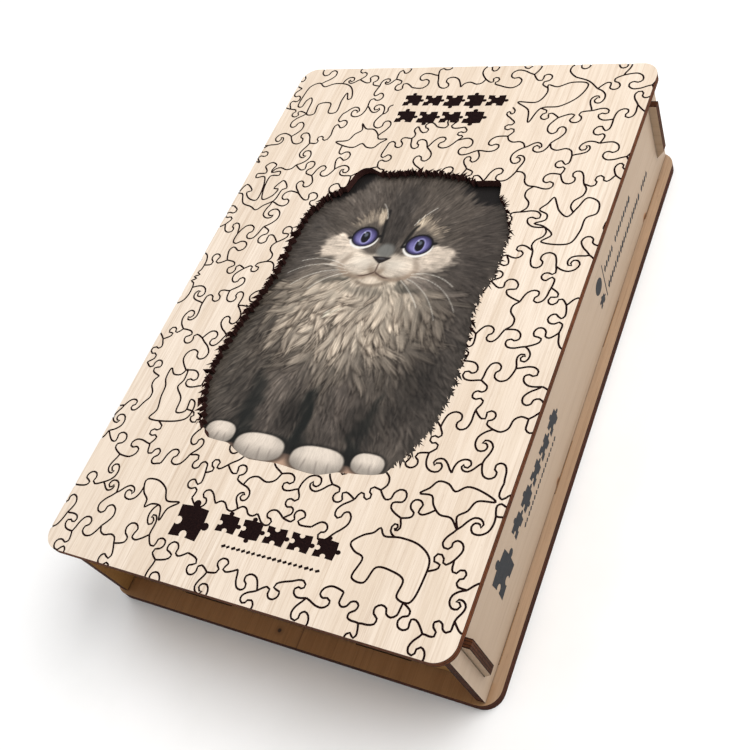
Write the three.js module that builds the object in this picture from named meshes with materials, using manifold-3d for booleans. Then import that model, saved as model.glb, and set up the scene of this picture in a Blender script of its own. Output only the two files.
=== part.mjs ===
// A book-shaped plywood box with a lift-off lid, holding a kitten-shaped jigsaw puzzle.
//
// Millimetres, +Z up, +Y towards the top of the picture, +X to its right. The origin
// is on the surface that the box stands on, under the middle of the base panel.
// The boards are flat laser-cut sheets, so nearly every part is an extruded outline.
import * as THREE from 'three';
import { mergeVertices } from 'three/addons/utils/BufferGeometryUtils.js';
import Module from 'manifold-3d';

const wasm = await Module();
wasm.setup();

// Sheets and clearances
const sheet = 3;
const baseSheet = 4;
const gap = 0.3;
const kerf = 0.3;

// Outer sizes
const boxHeight = 47.1;
const lidWidth = 150;
const lidLength = 224.6;
const baseWidth = 151;
const baseLength = 221.4;
const cornerRadius = 6.5;
const arcSegments = 4;

// Long walls stand near the long edges, end walls further in from the short edges
const longWallFaceX = 71.9;
const longWallHalfLength = 109.3;
const endWallFaceY = 103.6;

// Ears of the end walls, which cross the long walls in open notches
const earReachX = 74.7;
const earFloor = 11.9;
const earTop = 37.4;
const earChamfer = [2.4, 3.2];

// Tabs that stand the walls in slots of the base
const tabLength = 19.5;
const tabPitch = 58.2;
const longWallTabs = [-1.5, -0.5, 0.5, 1.5].map((step) => step * tabPitch);
const endWallTabs = [-0.6, 0.6].map((step) => step * tabPitch);

// Lid liner: the board under the lid that carries the picture and drops between the walls
const linerClearance = 0.4;

// Jigsaw
const puzzleScale = 1.42;
const puzzleColumns = 5;
const puzzleRows = 9;
const crossingScatter = 1.6;

// Levels
const baseTop = baseSheet;
const lidUnderside = boxHeight - sheet;
const wallBottom = baseTop + gap;
const wallTop = lidUnderside - gap;
const linerTop = lidUnderside - gap;
const tabBottom = gap;

// Colours and finishes
const veneer = { color: 0xeedec6, roughness: 0.62, metalness: 0 };
const wallBoard = { color: 0xb9a894, roughness: 0.7, metalness: 0 };
const baseBoard = { color: 0xb89a78, roughness: 0.68, metalness: 0 };
const printedBoard = { color: 0x6d6660, roughness: 0.5, metalness: 0 };
const pieceBoard = { color: 0x8a817a, roughness: 0.55, metalness: 0 };

const xAxis = new THREE.Vector3(1, 0, 0);
const yAxis = new THREE.Vector3(0, 1, 0);
const zAxis = new THREE.Vector3(0, 0, 1);

const box = new THREE.Group();
const lid = new THREE.Group();
const puzzle = new THREE.Group();

// A board cut from a sheet: an outline, extruded by the sheet's thickness along its own +Z
function board(name, outline, thickness, finish) {
  const settings = { depth: thickness, bevelEnabled: false, curveSegments: arcSegments };
  const geometry = new THREE.ExtrudeGeometry(outline, settings);
  const mesh = new THREE.Mesh(geometry, new THREE.MeshStandardMaterial(finish));
  mesh.name = name;
  return mesh;
}

function roundedRectangle(width, length, radius) {
  const x = width / 2 - radius;
  const y = length / 2 - radius;
  const shape = new THREE.Shape();
  shape.absarc(x, y, radius, 0, Math.PI / 2);
  shape.absarc(-x, y, radius, Math.PI / 2, Math.PI);
  shape.absarc(-x, -y, radius, Math.PI, Math.PI * 1.5);
  shape.absarc(x, -y, radius, Math.PI * 1.5, Math.PI * 2);
  shape.closePath();
  return shape;
}

// A mesh's geometry as a solid that can be joined and cut
function solidFrom(geometry) {
  const bare = geometry.clone();
  bare.deleteAttribute('normal');
  bare.deleteAttribute('uv');
  const merged = mergeVertices(bare);
  return new wasm.Manifold(new wasm.Mesh({
    numProp: 3,
    vertProperties: new Float32Array(merged.attributes.position.array),
    triVerts: new Uint32Array(merged.index.array),
  }));
}

function geometryFrom(solid) {
  const { vertProperties, triVerts } = solid.getMesh();
  const geometry = new THREE.BufferGeometry();
  geometry.setAttribute('position', new THREE.BufferAttribute(vertProperties, 3));
  geometry.setIndex(new THREE.BufferAttribute(triVerts, 1));
  geometry.computeVertexNormals();
  return geometry;
}

// Base: a rounded board with a slot for each wall tab
function makeBase() {
  const outline = roundedRectangle(baseWidth, baseLength, cornerRadius);
  const base = board('base_panel', outline, baseSheet, baseBoard);
  let solid = solidFrom(base.geometry);
  const cutSlot = (x, y, width, length) => {
    const cutter = new THREE.BoxGeometry(width, length, 4 * baseSheet);
    solid = solid.subtract(solidFrom(cutter.translate(x, y, 0)));
  };
  const slotWidth = sheet + 2 * gap;
  const slotLength = tabLength + 2 * gap;
  const longWallMiddleX = longWallFaceX - sheet / 2;
  const endWallMiddleY = endWallFaceY - sheet / 2;
  for (const side of [-1, 1]) {
    for (const y of longWallTabs) {
      cutSlot(side * longWallMiddleX, y, slotWidth, slotLength);
    }
    for (const x of endWallTabs) {
      cutSlot(x, side * endWallMiddleY, slotLength, slotWidth);
    }
  }
  base.geometry = geometryFrom(solid);
  box.add(base);
}

// The lower edge of a wall, from low to high, with a tab at each given place
function lineWithTabs(shape, tabs) {
  for (const middle of tabs) {
    shape.lineTo(middle - tabLength / 2, wallBottom);
    shape.lineTo(middle - tabLength / 2, tabBottom);
    shape.lineTo(middle + tabLength / 2, tabBottom);
    shape.lineTo(middle + tabLength / 2, wallBottom);
  }
}

// Long wall: drawn along Y and Z, with a notch open at the top near each end
function longWallOutline() {
  const notchOuter = endWallFaceY + gap;
  const notchInner = endWallFaceY - sheet - gap;
  const shape = new THREE.Shape();
  shape.moveTo(-longWallHalfLength, wallBottom);
  lineWithTabs(shape, longWallTabs);
  shape.lineTo(longWallHalfLength, wallBottom);
  shape.lineTo(longWallHalfLength, wallTop);
  shape.lineTo(notchOuter, wallTop);
  shape.lineTo(notchOuter, earFloor);
  shape.lineTo(notchInner, earFloor);
  shape.lineTo(notchInner, wallTop);
  shape.lineTo(-notchInner, wallTop);
  shape.lineTo(-notchInner, earFloor);
  shape.lineTo(-notchOuter, earFloor);
  shape.lineTo(-notchOuter, wallTop);
  shape.lineTo(-longWallHalfLength, wallTop);
  shape.closePath();
  return shape;
}

// End wall: drawn along X and Z, with an ear past each long wall
function endWallOutline() {
  const innerX = longWallFaceX - sheet - gap;
  const earBottom = earFloor + gap;
  const [chamferX, chamferZ] = earChamfer;
  const shape = new THREE.Shape();
  shape.moveTo(-innerX, wallBottom);
  lineWithTabs(shape, endWallTabs);
  shape.lineTo(innerX, wallBottom);
  shape.lineTo(innerX, earBottom);
  shape.lineTo(earReachX - chamferX, earBottom);
  shape.lineTo(earReachX, earBottom + chamferZ);
  shape.lineTo(earReachX, earTop);
  shape.lineTo(innerX, earTop);
  shape.lineTo(innerX, wallTop);
  shape.lineTo(-innerX, wallTop);
  shape.lineTo(-innerX, earTop);
  shape.lineTo(-earReachX, earTop);
  shape.lineTo(-earReachX, earBottom + chamferZ);
  shape.lineTo(-earReachX + chamferX, earBottom);
  shape.lineTo(-innerX, earBottom);
  shape.closePath();
  return shape;
}

function makeWalls() {
  const alongLength = new THREE.Matrix4().makeBasis(yAxis, zAxis, xAxis);
  const alongWidth = new THREE.Matrix4().makeBasis(xAxis, zAxis, yAxis.clone().negate());
  for (const [name, x] of [
    ['long_wall_left', -longWallFaceX],
    ['long_wall_right', longWallFaceX - sheet],
  ]) {
    const wall = board(name, longWallOutline(), sheet, wallBoard);
    wall.quaternion.setFromRotationMatrix(alongLength);
    wall.position.x = x;
    box.add(wall);
  }
  for (const [name, y] of [
    ['end_wall_near', -endWallFaceY + sheet],
    ['end_wall_far', endWallFaceY],
  ]) {
    const wall = board(name, endWallOutline(), sheet, wallBoard);
    wall.quaternion.setFromRotationMatrix(alongWidth);
    wall.position.y = y;
    box.add(wall);
  }
}

// The sitting kitten's outline, clockwise, as [x, y, length of the fur from here on].
// The four corner entries part the outline into its top, right, bottom and left sides.
const kittenTop = [
  [-26, 54.8, 0.3],
  [-21.5, 57.8, 0.3],
  [-15.5, 55.8, 1],
  [-6, 56.4, 1.4],
  [2, 57, 1.4],
  [10, 56.4, 1.4],
  [18.5, 55, 1.2],
  [25, 53.6, 0.3],
];
const kittenRight = [
  [32.8, 53.8, 0.3],
  [34.8, 48.4, 1],
  [40.2, 39.6, 1.3],
  [43.2, 31, 1.3],
  [44, 16, 1.3],
  [41.6, 2, 1.3],
  [43.6, -10, 1.4],
  [45, -26, 1.4],
  [44, -43, 1.4],
  [41, -51, 1.4],
  [37.4, -57.5, 0.3],
];
const kittenBottom = [
  [35, -62.6, 0],
  [27, -64.4, 0],
  [19.5, -65.2, 0],
  [13.5, -67.4, 0],
  [5.5, -67.2, 0],
  [-3, -66.4, 0],
  [-13, -67, 0],
  [-19.8, -64.8, 0],
  [-24, -62.8, 0],
];
const kittenLeft = [
  [-32.4, -62.4, 0.3],
  [-36.4, -58, 1.4],
  [-42, -47, 1.4],
  [-44.6, -36, 1.4],
  [-44.4, -26, 1.4],
  [-41.8, -9.5, 1.3],
  [-38.8, 6, 1.3],
  [-39, 20, 1.3],
  [-38.2, 33, 1.3],
  [-34.8, 40.8, 1.3],
  [-30, 46.4, 1],
];
const toothPitch = 3.2;
const toothDepth = 0.4;
const toothLean = 0.22;

function wrapped(list, index) {
  return list[(index + list.length) % list.length];
}

// Repeatable scatter between 0 and 1
function scatter(seed) {
  const value = Math.sin(seed * 12.9898) * 43758.5453;
  return value - Math.floor(value);
}

// One coordinate of a spline through b and c, with a and d as their neighbours
function splineValue(a, b, c, d, t) {
  const startSlope = (c - a) / 2;
  const endSlope = (d - b) / 2;
  const square = t * t;
  const cube = square * t;
  return (2 * cube - 3 * square + 1) * b + (cube - 2 * square + t) * startSlope
    + (3 * square - 2 * cube) * c + (cube - square) * endSlope;
}

function splinePoint(points, index, t) {
  const [a, b, c, d] = [-1, 0, 1, 2].map((step) => wrapped(points, index + step));
  return new THREE.Vector2(
    splineValue(a[0], b[0], c[0], d[0], t),
    splineValue(a[1], b[1], c[1], d[1], t),
  );
}

// The outline with locks of fur as teeth, one list of points for each of the four sides.
// Points marked isRoot lie between teeth.
function furrySides() {
  const sides = [kittenTop, kittenRight, kittenBottom, kittenLeft];
  const points = sides.flat();
  let index = 0;
  return sides.map((side) => {
    const outline = [];
    for (let step = 0; step < side.length; step += 1) {
      const start = splinePoint(points, index, 0);
      const length = start.distanceTo(splinePoint(points, index, 1));
      const fur = points[index][2];
      const teeth = fur > 0.5 ? Math.max(1, Math.round(length / toothPitch)) : 2;
      for (let tooth = 0; tooth < teeth; tooth += 1) {
        const valley = splinePoint(points, index, tooth / teeth);
        valley.isRoot = true;
        const ahead = splinePoint(points, index, (tooth + 1) / teeth);
        const along = ahead.clone().sub(valley).normalize();
        const outward = new THREE.Vector2(-along.y, along.x);
        if (fur <= 0.5) {
          outline.push(valley);
          continue;
        }
        const lean = 0.5 - toothLean * Math.sign(along.y);
        const reach = fur * (0.7 + 0.9 * scatter(index * 17 + tooth));
        const tip = splinePoint(points, index, (tooth + lean) / teeth);
        outline.push(valley.addScaledVector(outward, -toothDepth));
        outline.push(tip.addScaledVector(outward, reach));
      }
      index += 1;
    }
    return outline;
  });
}

function makeLid() {
  const outline = roundedRectangle(lidWidth, lidLength, cornerRadius);
  const window = new THREE.Path();
  window.setFromPoints(furrySides().flat());
  outline.holes.push(window);
  const panel = board('lid_panel', outline, sheet, veneer);
  panel.position.z = lidUnderside;
  lid.add(panel);

  const linerWidth = 2 * (longWallFaceX - sheet - linerClearance);
  const linerLength = 2 * (endWallFaceY - sheet - linerClearance);
  const liner = board(
    'picture_panel',
    roundedRectangle(linerWidth, linerLength, 2),
    sheet,
    printedBoard,
  );
  liner.position.z = linerTop - sheet;
  lid.add(liner);
}

// Half of a lock between two pieces, as [along, out] in parts of the cut's length
const knob = [
  [0.16, -0.025],
  [0.33, -0.045],
  [0.43, 0.01],
  [0.39, 0.1],
  [0.385, 0.19],
  [0.46, 0.255],
  [0.56, 0.25],
  [0.625, 0.175],
  [0.605, 0.09],
  [0.565, 0.005],
  [0.67, -0.045],
  [0.84, -0.025],
];
const knobLean = 0.08;
const knobHeight = 0.88;

// A cut from one point to another with a knob in the middle, leaning to one side
function cutBetween(start, end, seed) {
  const along = end.clone().sub(start);
  const side = scatter(seed) < 0.5 ? -1 : 1;
  const outward = new THREE.Vector2(-along.y, along.x).multiplyScalar(side * knobHeight);
  const lean = knobLean * (scatter(seed + 0.5) - 0.5) * 2;
  const points = [start];
  for (const [forward, out] of knob) {
    const shifted = forward + lean * Math.max(out, 0) * 4;
    points.push(start.clone().addScaledVector(along, shifted).addScaledVector(outward, out));
  }
  points.push(end);
  return points;
}

// Parts a side between teeth into nearly equal runs, each starting where the last one ends
function splitSide(side, next, count) {
  const points = [...side, next];
  const travelled = [0];
  for (let i = 1; i < points.length; i += 1) {
    travelled.push(travelled[i - 1] + points[i].distanceTo(points[i - 1]));
  }
  const total = travelled[points.length - 1];
  const cuts = [0];
  for (let run = 1; run < count; run += 1) {
    const wanted = (total * run) / count;
    let best = 0;
    for (let i = 0; i < points.length - 1; i += 1) {
      const closer = Math.abs(travelled[i] - wanted) < Math.abs(travelled[best] - wanted);
      best = closer && points[i].isRoot ? i : best;
    }
    cuts.push(best);
  }
  cuts.push(points.length - 1);
  return cuts.slice(1).map((cut, run) => points.slice(cuts[run], cut + 1));
}

// Where the cuts inside the picture cross: the four sides blended over the whole surface,
// with a little scatter so that no two pieces are alike
function crossingPoint(sides, column, row) {
  const u = column / puzzleColumns;
  const v = row / puzzleRows;
  const at = (runs, i) => (i < runs.length ? runs[i][0] : runs[i - 1].at(-1));
  const point = new THREE.Vector2()
    .addScaledVector(at(sides.low, column), 1 - v)
    .addScaledVector(at(sides.top, column), v)
    .addScaledVector(at(sides.left, row), 1 - u)
    .addScaledVector(at(sides.right, row), u)
    .addScaledVector(at(sides.low, 0), -(1 - u) * (1 - v))
    .addScaledVector(at(sides.low, puzzleColumns), -u * (1 - v))
    .addScaledVector(at(sides.top, 0), -(1 - u) * v)
    .addScaledVector(at(sides.top, puzzleColumns), -u * v);
  if (u > 0 && u < 1 && v > 0 && v < 1) {
    point.x += crossingScatter * (2 * scatter(7 * row + column) - 1);
    point.y += crossingScatter * (2 * scatter(11 * row + column + 0.3) - 1);
  }
  return point;
}

// Moves every point of a counter-clockwise outline inwards by half the cut's width
function shrunk(points) {
  return points.map((point, i) => {
    const before = point.clone().sub(wrapped(points, i - 1)).normalize();
    const after = wrapped(points, i + 1).clone().sub(point).normalize();
    const inward = new THREE.Vector2(-before.y - after.y, before.x + after.x).normalize();
    return point.clone().addScaledVector(inward, kerf / 2);
  });
}

// Runs of the outline, each side listed from left to right or from low to high
function puzzleSides() {
  const [top, right, bottom, left] = furrySides().map((side) => side.map(
    (point) => point.multiplyScalar(puzzleScale),
  ));
  const turned = (runs) => runs.map((run) => [...run].reverse()).reverse();
  return {
    top: splitSide(top, right[0], puzzleColumns),
    right: turned(splitSide(right, bottom[0], puzzleRows)),
    low: turned(splitSide(bottom, left[0], puzzleColumns)),
    left: splitSide(left, top[0], puzzleRows),
  };
}

function makePuzzle() {
  const sides = puzzleSides();
  const crossing = (column, row) => crossingPoint(sides, column, row);
  const acrossCut = (column, row) => {
    if (row === 0) return sides.low[column];
    if (row === puzzleRows) return sides.top[column];
    return cutBetween(crossing(column, row), crossing(column + 1, row), 31 * row + column);
  };
  const uprightCut = (column, row) => {
    if (column === 0) return sides.left[row];
    if (column === puzzleColumns) return sides.right[row];
    return cutBetween(crossing(column, row), crossing(column, row + 1), 57 * row + column + 9);
  };
  for (let row = 0; row < puzzleRows; row += 1) {
    for (let column = 0; column < puzzleColumns; column += 1) {
      const low = acrossCut(column, row);
      const right = uprightCut(column + 1, row);
      const top = [...acrossCut(column, row + 1)].reverse();
      const left = [...uprightCut(column, row)].reverse();
      const outline = [low, right, top, left].flatMap((edge) => edge.slice(0, -1));
      const name = `puzzle_piece_${row + 1}_${column + 1}`;
      const piece = board(name, new THREE.Shape(shrunk(outline)), sheet, pieceBoard);
      piece.position.z = baseTop + gap;
      puzzle.add(piece);
    }
  }
}

makeBase();
makeWalls();
makeLid();
makePuzzle();

const model = new THREE.Group();
model.add(box, lid, puzzle);

export default model;
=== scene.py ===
"""A book-shaped plywood box with a lift-off lid, holding a kitten-shaped jigsaw puzzle.

Lengths are millimetres while outlines are drawn, and metres in Blender and in materials. The lid's
middle is at x = 0, y = 0, with +Y towards the top of the picture. Colours are display colours, from
0 to 1, which linear() turns into light. Turns are degrees.
"""
import math

import bpy
import numpy as np
from mathutils import Matrix, Vector
from mathutils.geometry import delaunay_2d_cdt, tessellate_polygon


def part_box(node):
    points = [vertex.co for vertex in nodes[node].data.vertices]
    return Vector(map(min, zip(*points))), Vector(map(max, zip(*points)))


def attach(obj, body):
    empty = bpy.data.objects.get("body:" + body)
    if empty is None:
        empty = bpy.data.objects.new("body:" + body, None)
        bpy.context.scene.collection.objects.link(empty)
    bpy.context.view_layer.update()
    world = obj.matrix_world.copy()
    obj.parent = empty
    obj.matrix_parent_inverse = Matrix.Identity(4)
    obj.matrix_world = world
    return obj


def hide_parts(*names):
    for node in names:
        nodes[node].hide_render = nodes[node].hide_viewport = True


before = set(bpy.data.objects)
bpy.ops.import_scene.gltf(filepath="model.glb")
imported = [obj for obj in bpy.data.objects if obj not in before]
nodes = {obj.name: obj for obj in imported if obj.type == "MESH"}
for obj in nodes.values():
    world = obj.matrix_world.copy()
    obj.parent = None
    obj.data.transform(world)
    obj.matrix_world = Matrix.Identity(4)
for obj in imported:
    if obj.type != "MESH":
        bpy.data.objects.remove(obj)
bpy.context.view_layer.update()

MM = 0.001

# Lid
CORNER_RADIUS = 6.5
CORNER_STEPS = 14
GROOVE_DEPTH = 0.32
GROOVE_HALF_WIDTH = 0.34
MARK_DEPTH = 0.2
RIM_STEP = 0.28

# Jigsaw cuts engraved on the lid, between the crossings of a grid of six-sided cells. Crossings within
# SNAP_REACH of a small shape move onto it, and those more than CLEAR_DEPTH inside a clear place go.
CELL_SIDE = 10.6
NODE_SCATTER = 1.7
CUT_CLEARANCE = 0.95
CUT_TRIES = 26
SNAP_REACH = 2.2
CLEAR_DEPTH = 6.5
CURVE_STEP = 0.9

# How much larger the loose pieces show the picture than the lid's window does
PUZZLE_SCALE = 1.42
# How far apart the points are in which the window's picture and the loose pieces' are held
PICTURE_GRID = 0.3
PIECE_GRID = 0.62

# Tabs of the long walls, in slots of the base
TAB_LENGTH = 19.5
TAB_PITCH = 58.2
SLOT_GAP = 0.3

# The base's thickness, and marks in its veneer, in metres
BASE_THICKNESS = 0.004
KNOT = (-0.0033, -0.1068, 0.004)
SEAM = 0.0052


# ---- painted picture of the kitten, worked out as a raster of colours ----

# The raster: dots per millimetre, its low corner, and its size
DOTS = 5
LOW_X, LOW_Y = -50.0, -72.0
WIDE, TALL = 100.0, 136.0


def smooth(low, high, value):
    t = np.clip((value - low) / (high - low), 0.0, 1.0)
    return t * t * (3 - 2 * t)


def sample(field, column, row):
    """The raster's value between dots."""
    row = np.clip(row, 0, field.shape[0] - 1.001)
    column = np.clip(column, 0, field.shape[1] - 1.001)
    r, c = row.astype(int), column.astype(int)
    fr, fc = row - r, column - c
    if field.ndim == 3:
        fr, fc = fr[..., None], fc[..., None]
    return ((field[r, c] * (1 - fc) + field[r, c + 1] * fc) * (1 - fr)
            + (field[r + 1, c] * (1 - fc) + field[r + 1, c + 1] * fc) * fr)


def blurred(field, radius):
    """Three box blurs, close to a Gaussian."""
    for _ in range(3):
        for axis in (0, 1):
            pads = [(radius + 1, radius) if a == axis else (0, 0) for a in (0, 1)]
            total = np.cumsum(np.pad(field, pads, mode="edge"), axis=axis)
            size = field.shape[axis]
            high = np.take(total, range(2 * radius + 1, size + 2 * radius + 1), axis=axis)
            low = np.take(total, range(0, size), axis=axis)
            field = (high - low) / (2 * radius + 1)
    return field


# Where the fur points: [x, y, direction x, direction y]
FUR_FLOW = np.array([
    [0, 34, 0, 1], [0, 50, 0, 1], [-9, 40, -0.35, 0.9], [9, 39, 0.35, 0.9],
    [-18, 47, -0.5, 0.85], [17, 46, 0.5, 0.85], [-28, 42, -0.95, 0.35], [29, 41, 0.95, 0.35],
    [-25, 55, -0.3, 1], [27, 53, 0.35, 1], [-23, 33, -0.9, 0.5], [22, 31, 0.9, 0.5],
    [-24, 22, -1, -0.05], [22, 20, 1, -0.05], [-36, 26, -1, 0.05], [36, 26, 1, 0.05],
    [-28, 11, -0.9, -0.45], [27, 10, 0.9, -0.45], [-38, 6, -0.8, -0.6], [38, 6, 0.8, -0.6],
    [-8, 15, -0.9, -0.3], [5.5, 15, 0.9, -0.3], [-1.5, 8, 0, -1], [-1, 22, 0, 1],
    [-1, -6, 0, -1], [-13, 0, -0.6, -0.8], [11, 0, 0.6, -0.8], [-27, -6, -0.8, -0.6],
    [25, -8, 0.8, -0.6], [-18, -20, -0.4, -0.9], [15, -18, 0.6, -0.8], [-30, -22, -0.5, -0.85],
    [28, -22, 0.6, -0.8], [-40, -20, -0.7, -0.7], [41, -20, 0.75, -0.65], [-41, -42, -0.6, -0.8],
    [42, -40, 0.75, -0.65], [-14, -44, -0.15, -1], [9, -44, 0.2, -1], [-31, -48, -0.4, -0.9],
    [30, -48, 0.45, -0.9], [0, -25, 0.05, -1],
])

# How many locks and single hairs are painted, and where: [left, right, low, high]
BODY_LOCKS, BODY_HAIRS, BODY = 950, 1300, (-48, 48, -60, 12)
HEAD_LOCKS, HEAD_HAIRS, HEAD = 1500, 1500, (-46, 46, 6, 62)
RUFF_LOCKS, HAIRS_IN_LOCK, RUFF = 185, 13, (-38, 30, -27, 9)
BROW_HAIRS = 45

DARK_FUR = (0.325, 0.295, 0.268)
VALLEY = (0.075, 0.085, 0.078)
INK = (0.10, 0.09, 0.088)
SMOKE = (0.235, 0.218, 0.208)
GREY_FUR = (0.50, 0.46, 0.415)
CREAM_FUR = (0.82, 0.76, 0.685)
WHITE_FUR = (0.815, 0.755, 0.69)
MUZZLE_FUR = (0.83, 0.775, 0.71)
PAW = (0.85, 0.80, 0.745)

# Patches below are ellipses: [x, y, half width, half height, turn]

# Patches of the coat, painted in this order: [patch, softness, strength, colour]
COAT = [
    (-18, 44, 15, 10, 20, 0.9, 0.6, (0.41, 0.375, 0.345)),
    (19, 42, 15, 10, -20, 0.9, 0.6, (0.39, 0.355, 0.325)),
    (-34, 26, 9, 20, 0, 0.8, 0.55, (0.29, 0.27, 0.255)),
    (34, 22, 11, 30, 0, 0.8, 0.7, (0.265, 0.24, 0.225)),
    (-1, 40, 5.5, 15, 0, 0.9, 0.65, SMOKE),
    (-26.4, 54.0, 11.0, 6.6, 55, 0.3, 0.98, INK),
    (27.4, 51.8, 11.5, 6.0, -36, 0.3, 0.98, INK),
    (-19.0, 49, 5, 8, -38, 0.8, 0.75, (0.42, 0.385, 0.355)),
    # ruff
    (-4, -8, 37, 26, 0, 0.6, 0.9, GREY_FUR),
    (-6, 0, 31, 14, 0, 0.6, 0.9, (0.74, 0.685, 0.61)),
    (-5, -5, 21, 18, 0, 0.7, 0.9, CREAM_FUR),
    (-5, 2, 24, 9, 0, 0.8, 0.75, CREAM_FUR),
    # face
    (-21.0, 23.2, 7.2, 6.0, 0, 0.3, 0.97, WHITE_FUR),
    (-14, 17.5, 8.0, 5.0, -14, 0.4, 0.95, WHITE_FUR),
    (19.2, 21.2, 7.4, 5.8, 0, 0.3, 0.97, WHITE_FUR),
    (12, 17.0, 8.0, 5.0, 14, 0.4, 0.95, WHITE_FUR),
    (-1, 29, 4.2, 7.5, 0, 0.6, 0.8, (0.23, 0.21, 0.195)),
    (-8.0, 16.5, 9.5, 5.8, -10, 0.4, 0.97, MUZZLE_FUR),
    (5.5, 16.2, 9.5, 5.8, 10, 0.4, 0.97, MUZZLE_FUR),
    (-1.8, 10.4, 5.2, 3.2, 0, 0.45, 0.95, (0.84, 0.775, 0.70)),
    (-20, 12.5, 9, 2.4, 8, 0.9, 0.6, (0.55, 0.51, 0.47)),
    (18, 11.0, 9, 2.4, -8, 0.9, 0.6, (0.50, 0.46, 0.43)),
    (-1.4, 5.6, 9, 1.6, 0, 0.9, 0.6, (0.56, 0.50, 0.44)),
    # body and legs
    (-38, -25, 9, 30, 0, 0.7, 0.6, (0.33, 0.305, 0.275)),
    (38, -22, 10, 30, 0, 0.7, 0.6, (0.25, 0.23, 0.215)),
    (-14, -43, 9, 17, 0, 0.6, 0.8, (0.27, 0.245, 0.225)),
    (9, -43, 9, 17, 0, 0.6, 0.8, (0.285, 0.258, 0.238)),
    (-16, -34, 5.5, 13, 0, 0.8, 0.8, (0.46, 0.42, 0.385)),
    (8, -36, 4.5, 12, 0, 0.8, 0.8, (0.42, 0.38, 0.35)),
    (-33, -44, 7, 12, 0, 0.8, 0.6, (0.31, 0.285, 0.26)),
    (30, -44, 8, 12, 0, 0.8, 0.5, (0.29, 0.265, 0.245)),
    (-2.5, -46, 2.4, 14, 0, 0.7, 0.97, (0.085, 0.09, 0.085)),
    (-24.8, -50, 2.6, 11, 6, 0.9, 0.9, (0.12, 0.115, 0.105)),
    (20.0, -50, 2.4, 11, -6, 0.9, 0.9, (0.12, 0.115, 0.11)),
    (-38, -53, 5, 6, 0, 0.9, 0.5, (0.22, 0.20, 0.19)),
]

# Deep shade between the legs and the body: [patch, strength]
DARK_VALLEYS = [
    (-2.6, -49, 2.2, 12, 0, 0.9), (-24.5, -46, 3.2, 15, 6, 0.7), (19.5, -47, 2.0, 14, -8, 0.6),
    (-20, -57, 5, 2.0, 0, 0.5), (-2.5, -58, 6, 3.0, 0, 0.7), (18.5, -57, 4, 3.0, 0, 0.6),
    (-13, 9.2, 9, 1.6, 14, 0.45), (10, 8.6, 9, 1.6, -14, 0.45), (-1.8, 5.0, 9, 2.4, 0, 0.3),
]

# Broad shifts of tone over the finished coat: [patch, factor]
TONES = [
    (-18, -12, 11, 9, 0, 1.07), (12, -27, 10, 7, 0, 0.92), (-8, -48, 4, 8, 0, 0.66),
    (16, -45, 5, 8, 0, 0.72), (24, 18, 5, 7, 0, 0.89), (-1, 15, 10, 6, 0, 0.88),
    (31, -31, 8, 14, -10, 0.72), (-33, -38, 7, 9, 0, 0.88), (16, -10, 6, 8, 0, 1.05),
]

# The ears' black tips
EAR_TIPS = [(-26.5, 55.0, 10.5, 5.4, 57), (30.5, 52.5, 8.0, 5.4, -20)]

# The pale brows: [patch, strength, colour]
BROWS = [
    (-12.6, 36.3, 6.4, 2.0, 36, 0.7, (0.60, 0.545, 0.48)),
    (-8.0, 37.2, 3.4, 1.6, 100, 0.9, (0.76, 0.695, 0.61)),
    (13.6, 33.8, 6.4, 2.2, -40, 0.7, (0.60, 0.545, 0.48)),
    (8.4, 35.6, 3.6, 1.7, 68, 0.9, (0.76, 0.695, 0.61)),
]
# Dark creases beside the nose, from the brows to the eyes' inner corners: start, pull and end
CREASES = [((-6.5, 40.9), (-6.2, 34.8), (-4.4, 26.4)), ((7.8, 35.3), (5.7, 32.0), (4.8, 25.6))]

# Whiskers: start, pull and end
WHISKERS = [
    ((-14, 14.5), (-24, 19), (-33, 15)), ((-14, 13.5), (-27, 17), (-36.5, 9)),
    ((-13, 12.5), (-25, 13), (-33, 4)), ((-12, 11.5), (-20, 10), (-25, 3)),
    ((13, 13.5), (22, 16), (30, 10)), ((13, 12.5), (26, 13), (34, 0)),
    ((12, 11.5), (22, 8), (28, -4)), ((10, 10.5), (16, 6), (20, 0)),
    ((-6.0, 37), (-7.0, 41), (-10, 44)), ((5.8, 35), (8.0, 40), (12, 43.5)),
]

# Where no hairs are drawn, and where they are short and pale
BARE_FACE = [(-1.5, 16, 15, 9, 0), (-12, 28, 7.5, 6, 0), (11, 26.2, 7.5, 6, 0), (-1, 22, 5, 6, 0)]
PALE_FACE = [(-20.5, 22, 8, 7, 0), (18.5, 20.5, 9, 7.5, 0)]
RUFF_REACH, FACE_REACH = (-4, 4, 34, 31), (-1.5, 16, 15, 10.5)

# The muzzle's two puffs and the chin, and the cheeks
MUZZLE = [(-8.0, 16.5, 9.5, 5.8, -10), (5.5, 16.2, 9.5, 5.8, 10), (-1.8, 10.4, 5.2, 3.2)]
CHEEKS = [(-19, 22, 8.5, 6.5), (18, 20.5, 9.5, 6.8)]

# The eyes: [x, y, lean]
EYES = [(-11.8, 28.2, 8), (10.9, 26.3, 12)]

# The ground that the kitten sits on starts here
GROUND_Y = -60.8
# The paws: [x, y, half width, half height, where the lines between the toes are]
PAWS = [
    (-31.5, -58.0, 6.0, 4.0, (-0.6, 2.4)), (26.4, -59.3, 5.7, 3.7, (-2.0, 1.0)),
    (-14.2, -60.6, 9.7, 4.8, (-3.8, 0.6, 4.8)), (8.6, -61.4, 9.8, 4.8, (-4.2, 0.4, 4.6)),
]


def ellipse(x, y, middle_x, middle_y, half_wide, half_tall, turn=0.0):
    """Distance from the middle in half widths: 1 on the ellipse."""
    a = np.radians(turn)
    along = (x - middle_x) * np.cos(a) + (y - middle_y) * np.sin(a)
    across = -(x - middle_x) * np.sin(a) + (y - middle_y) * np.cos(a)
    return np.hypot(along / half_wide, across / half_tall)


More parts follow.
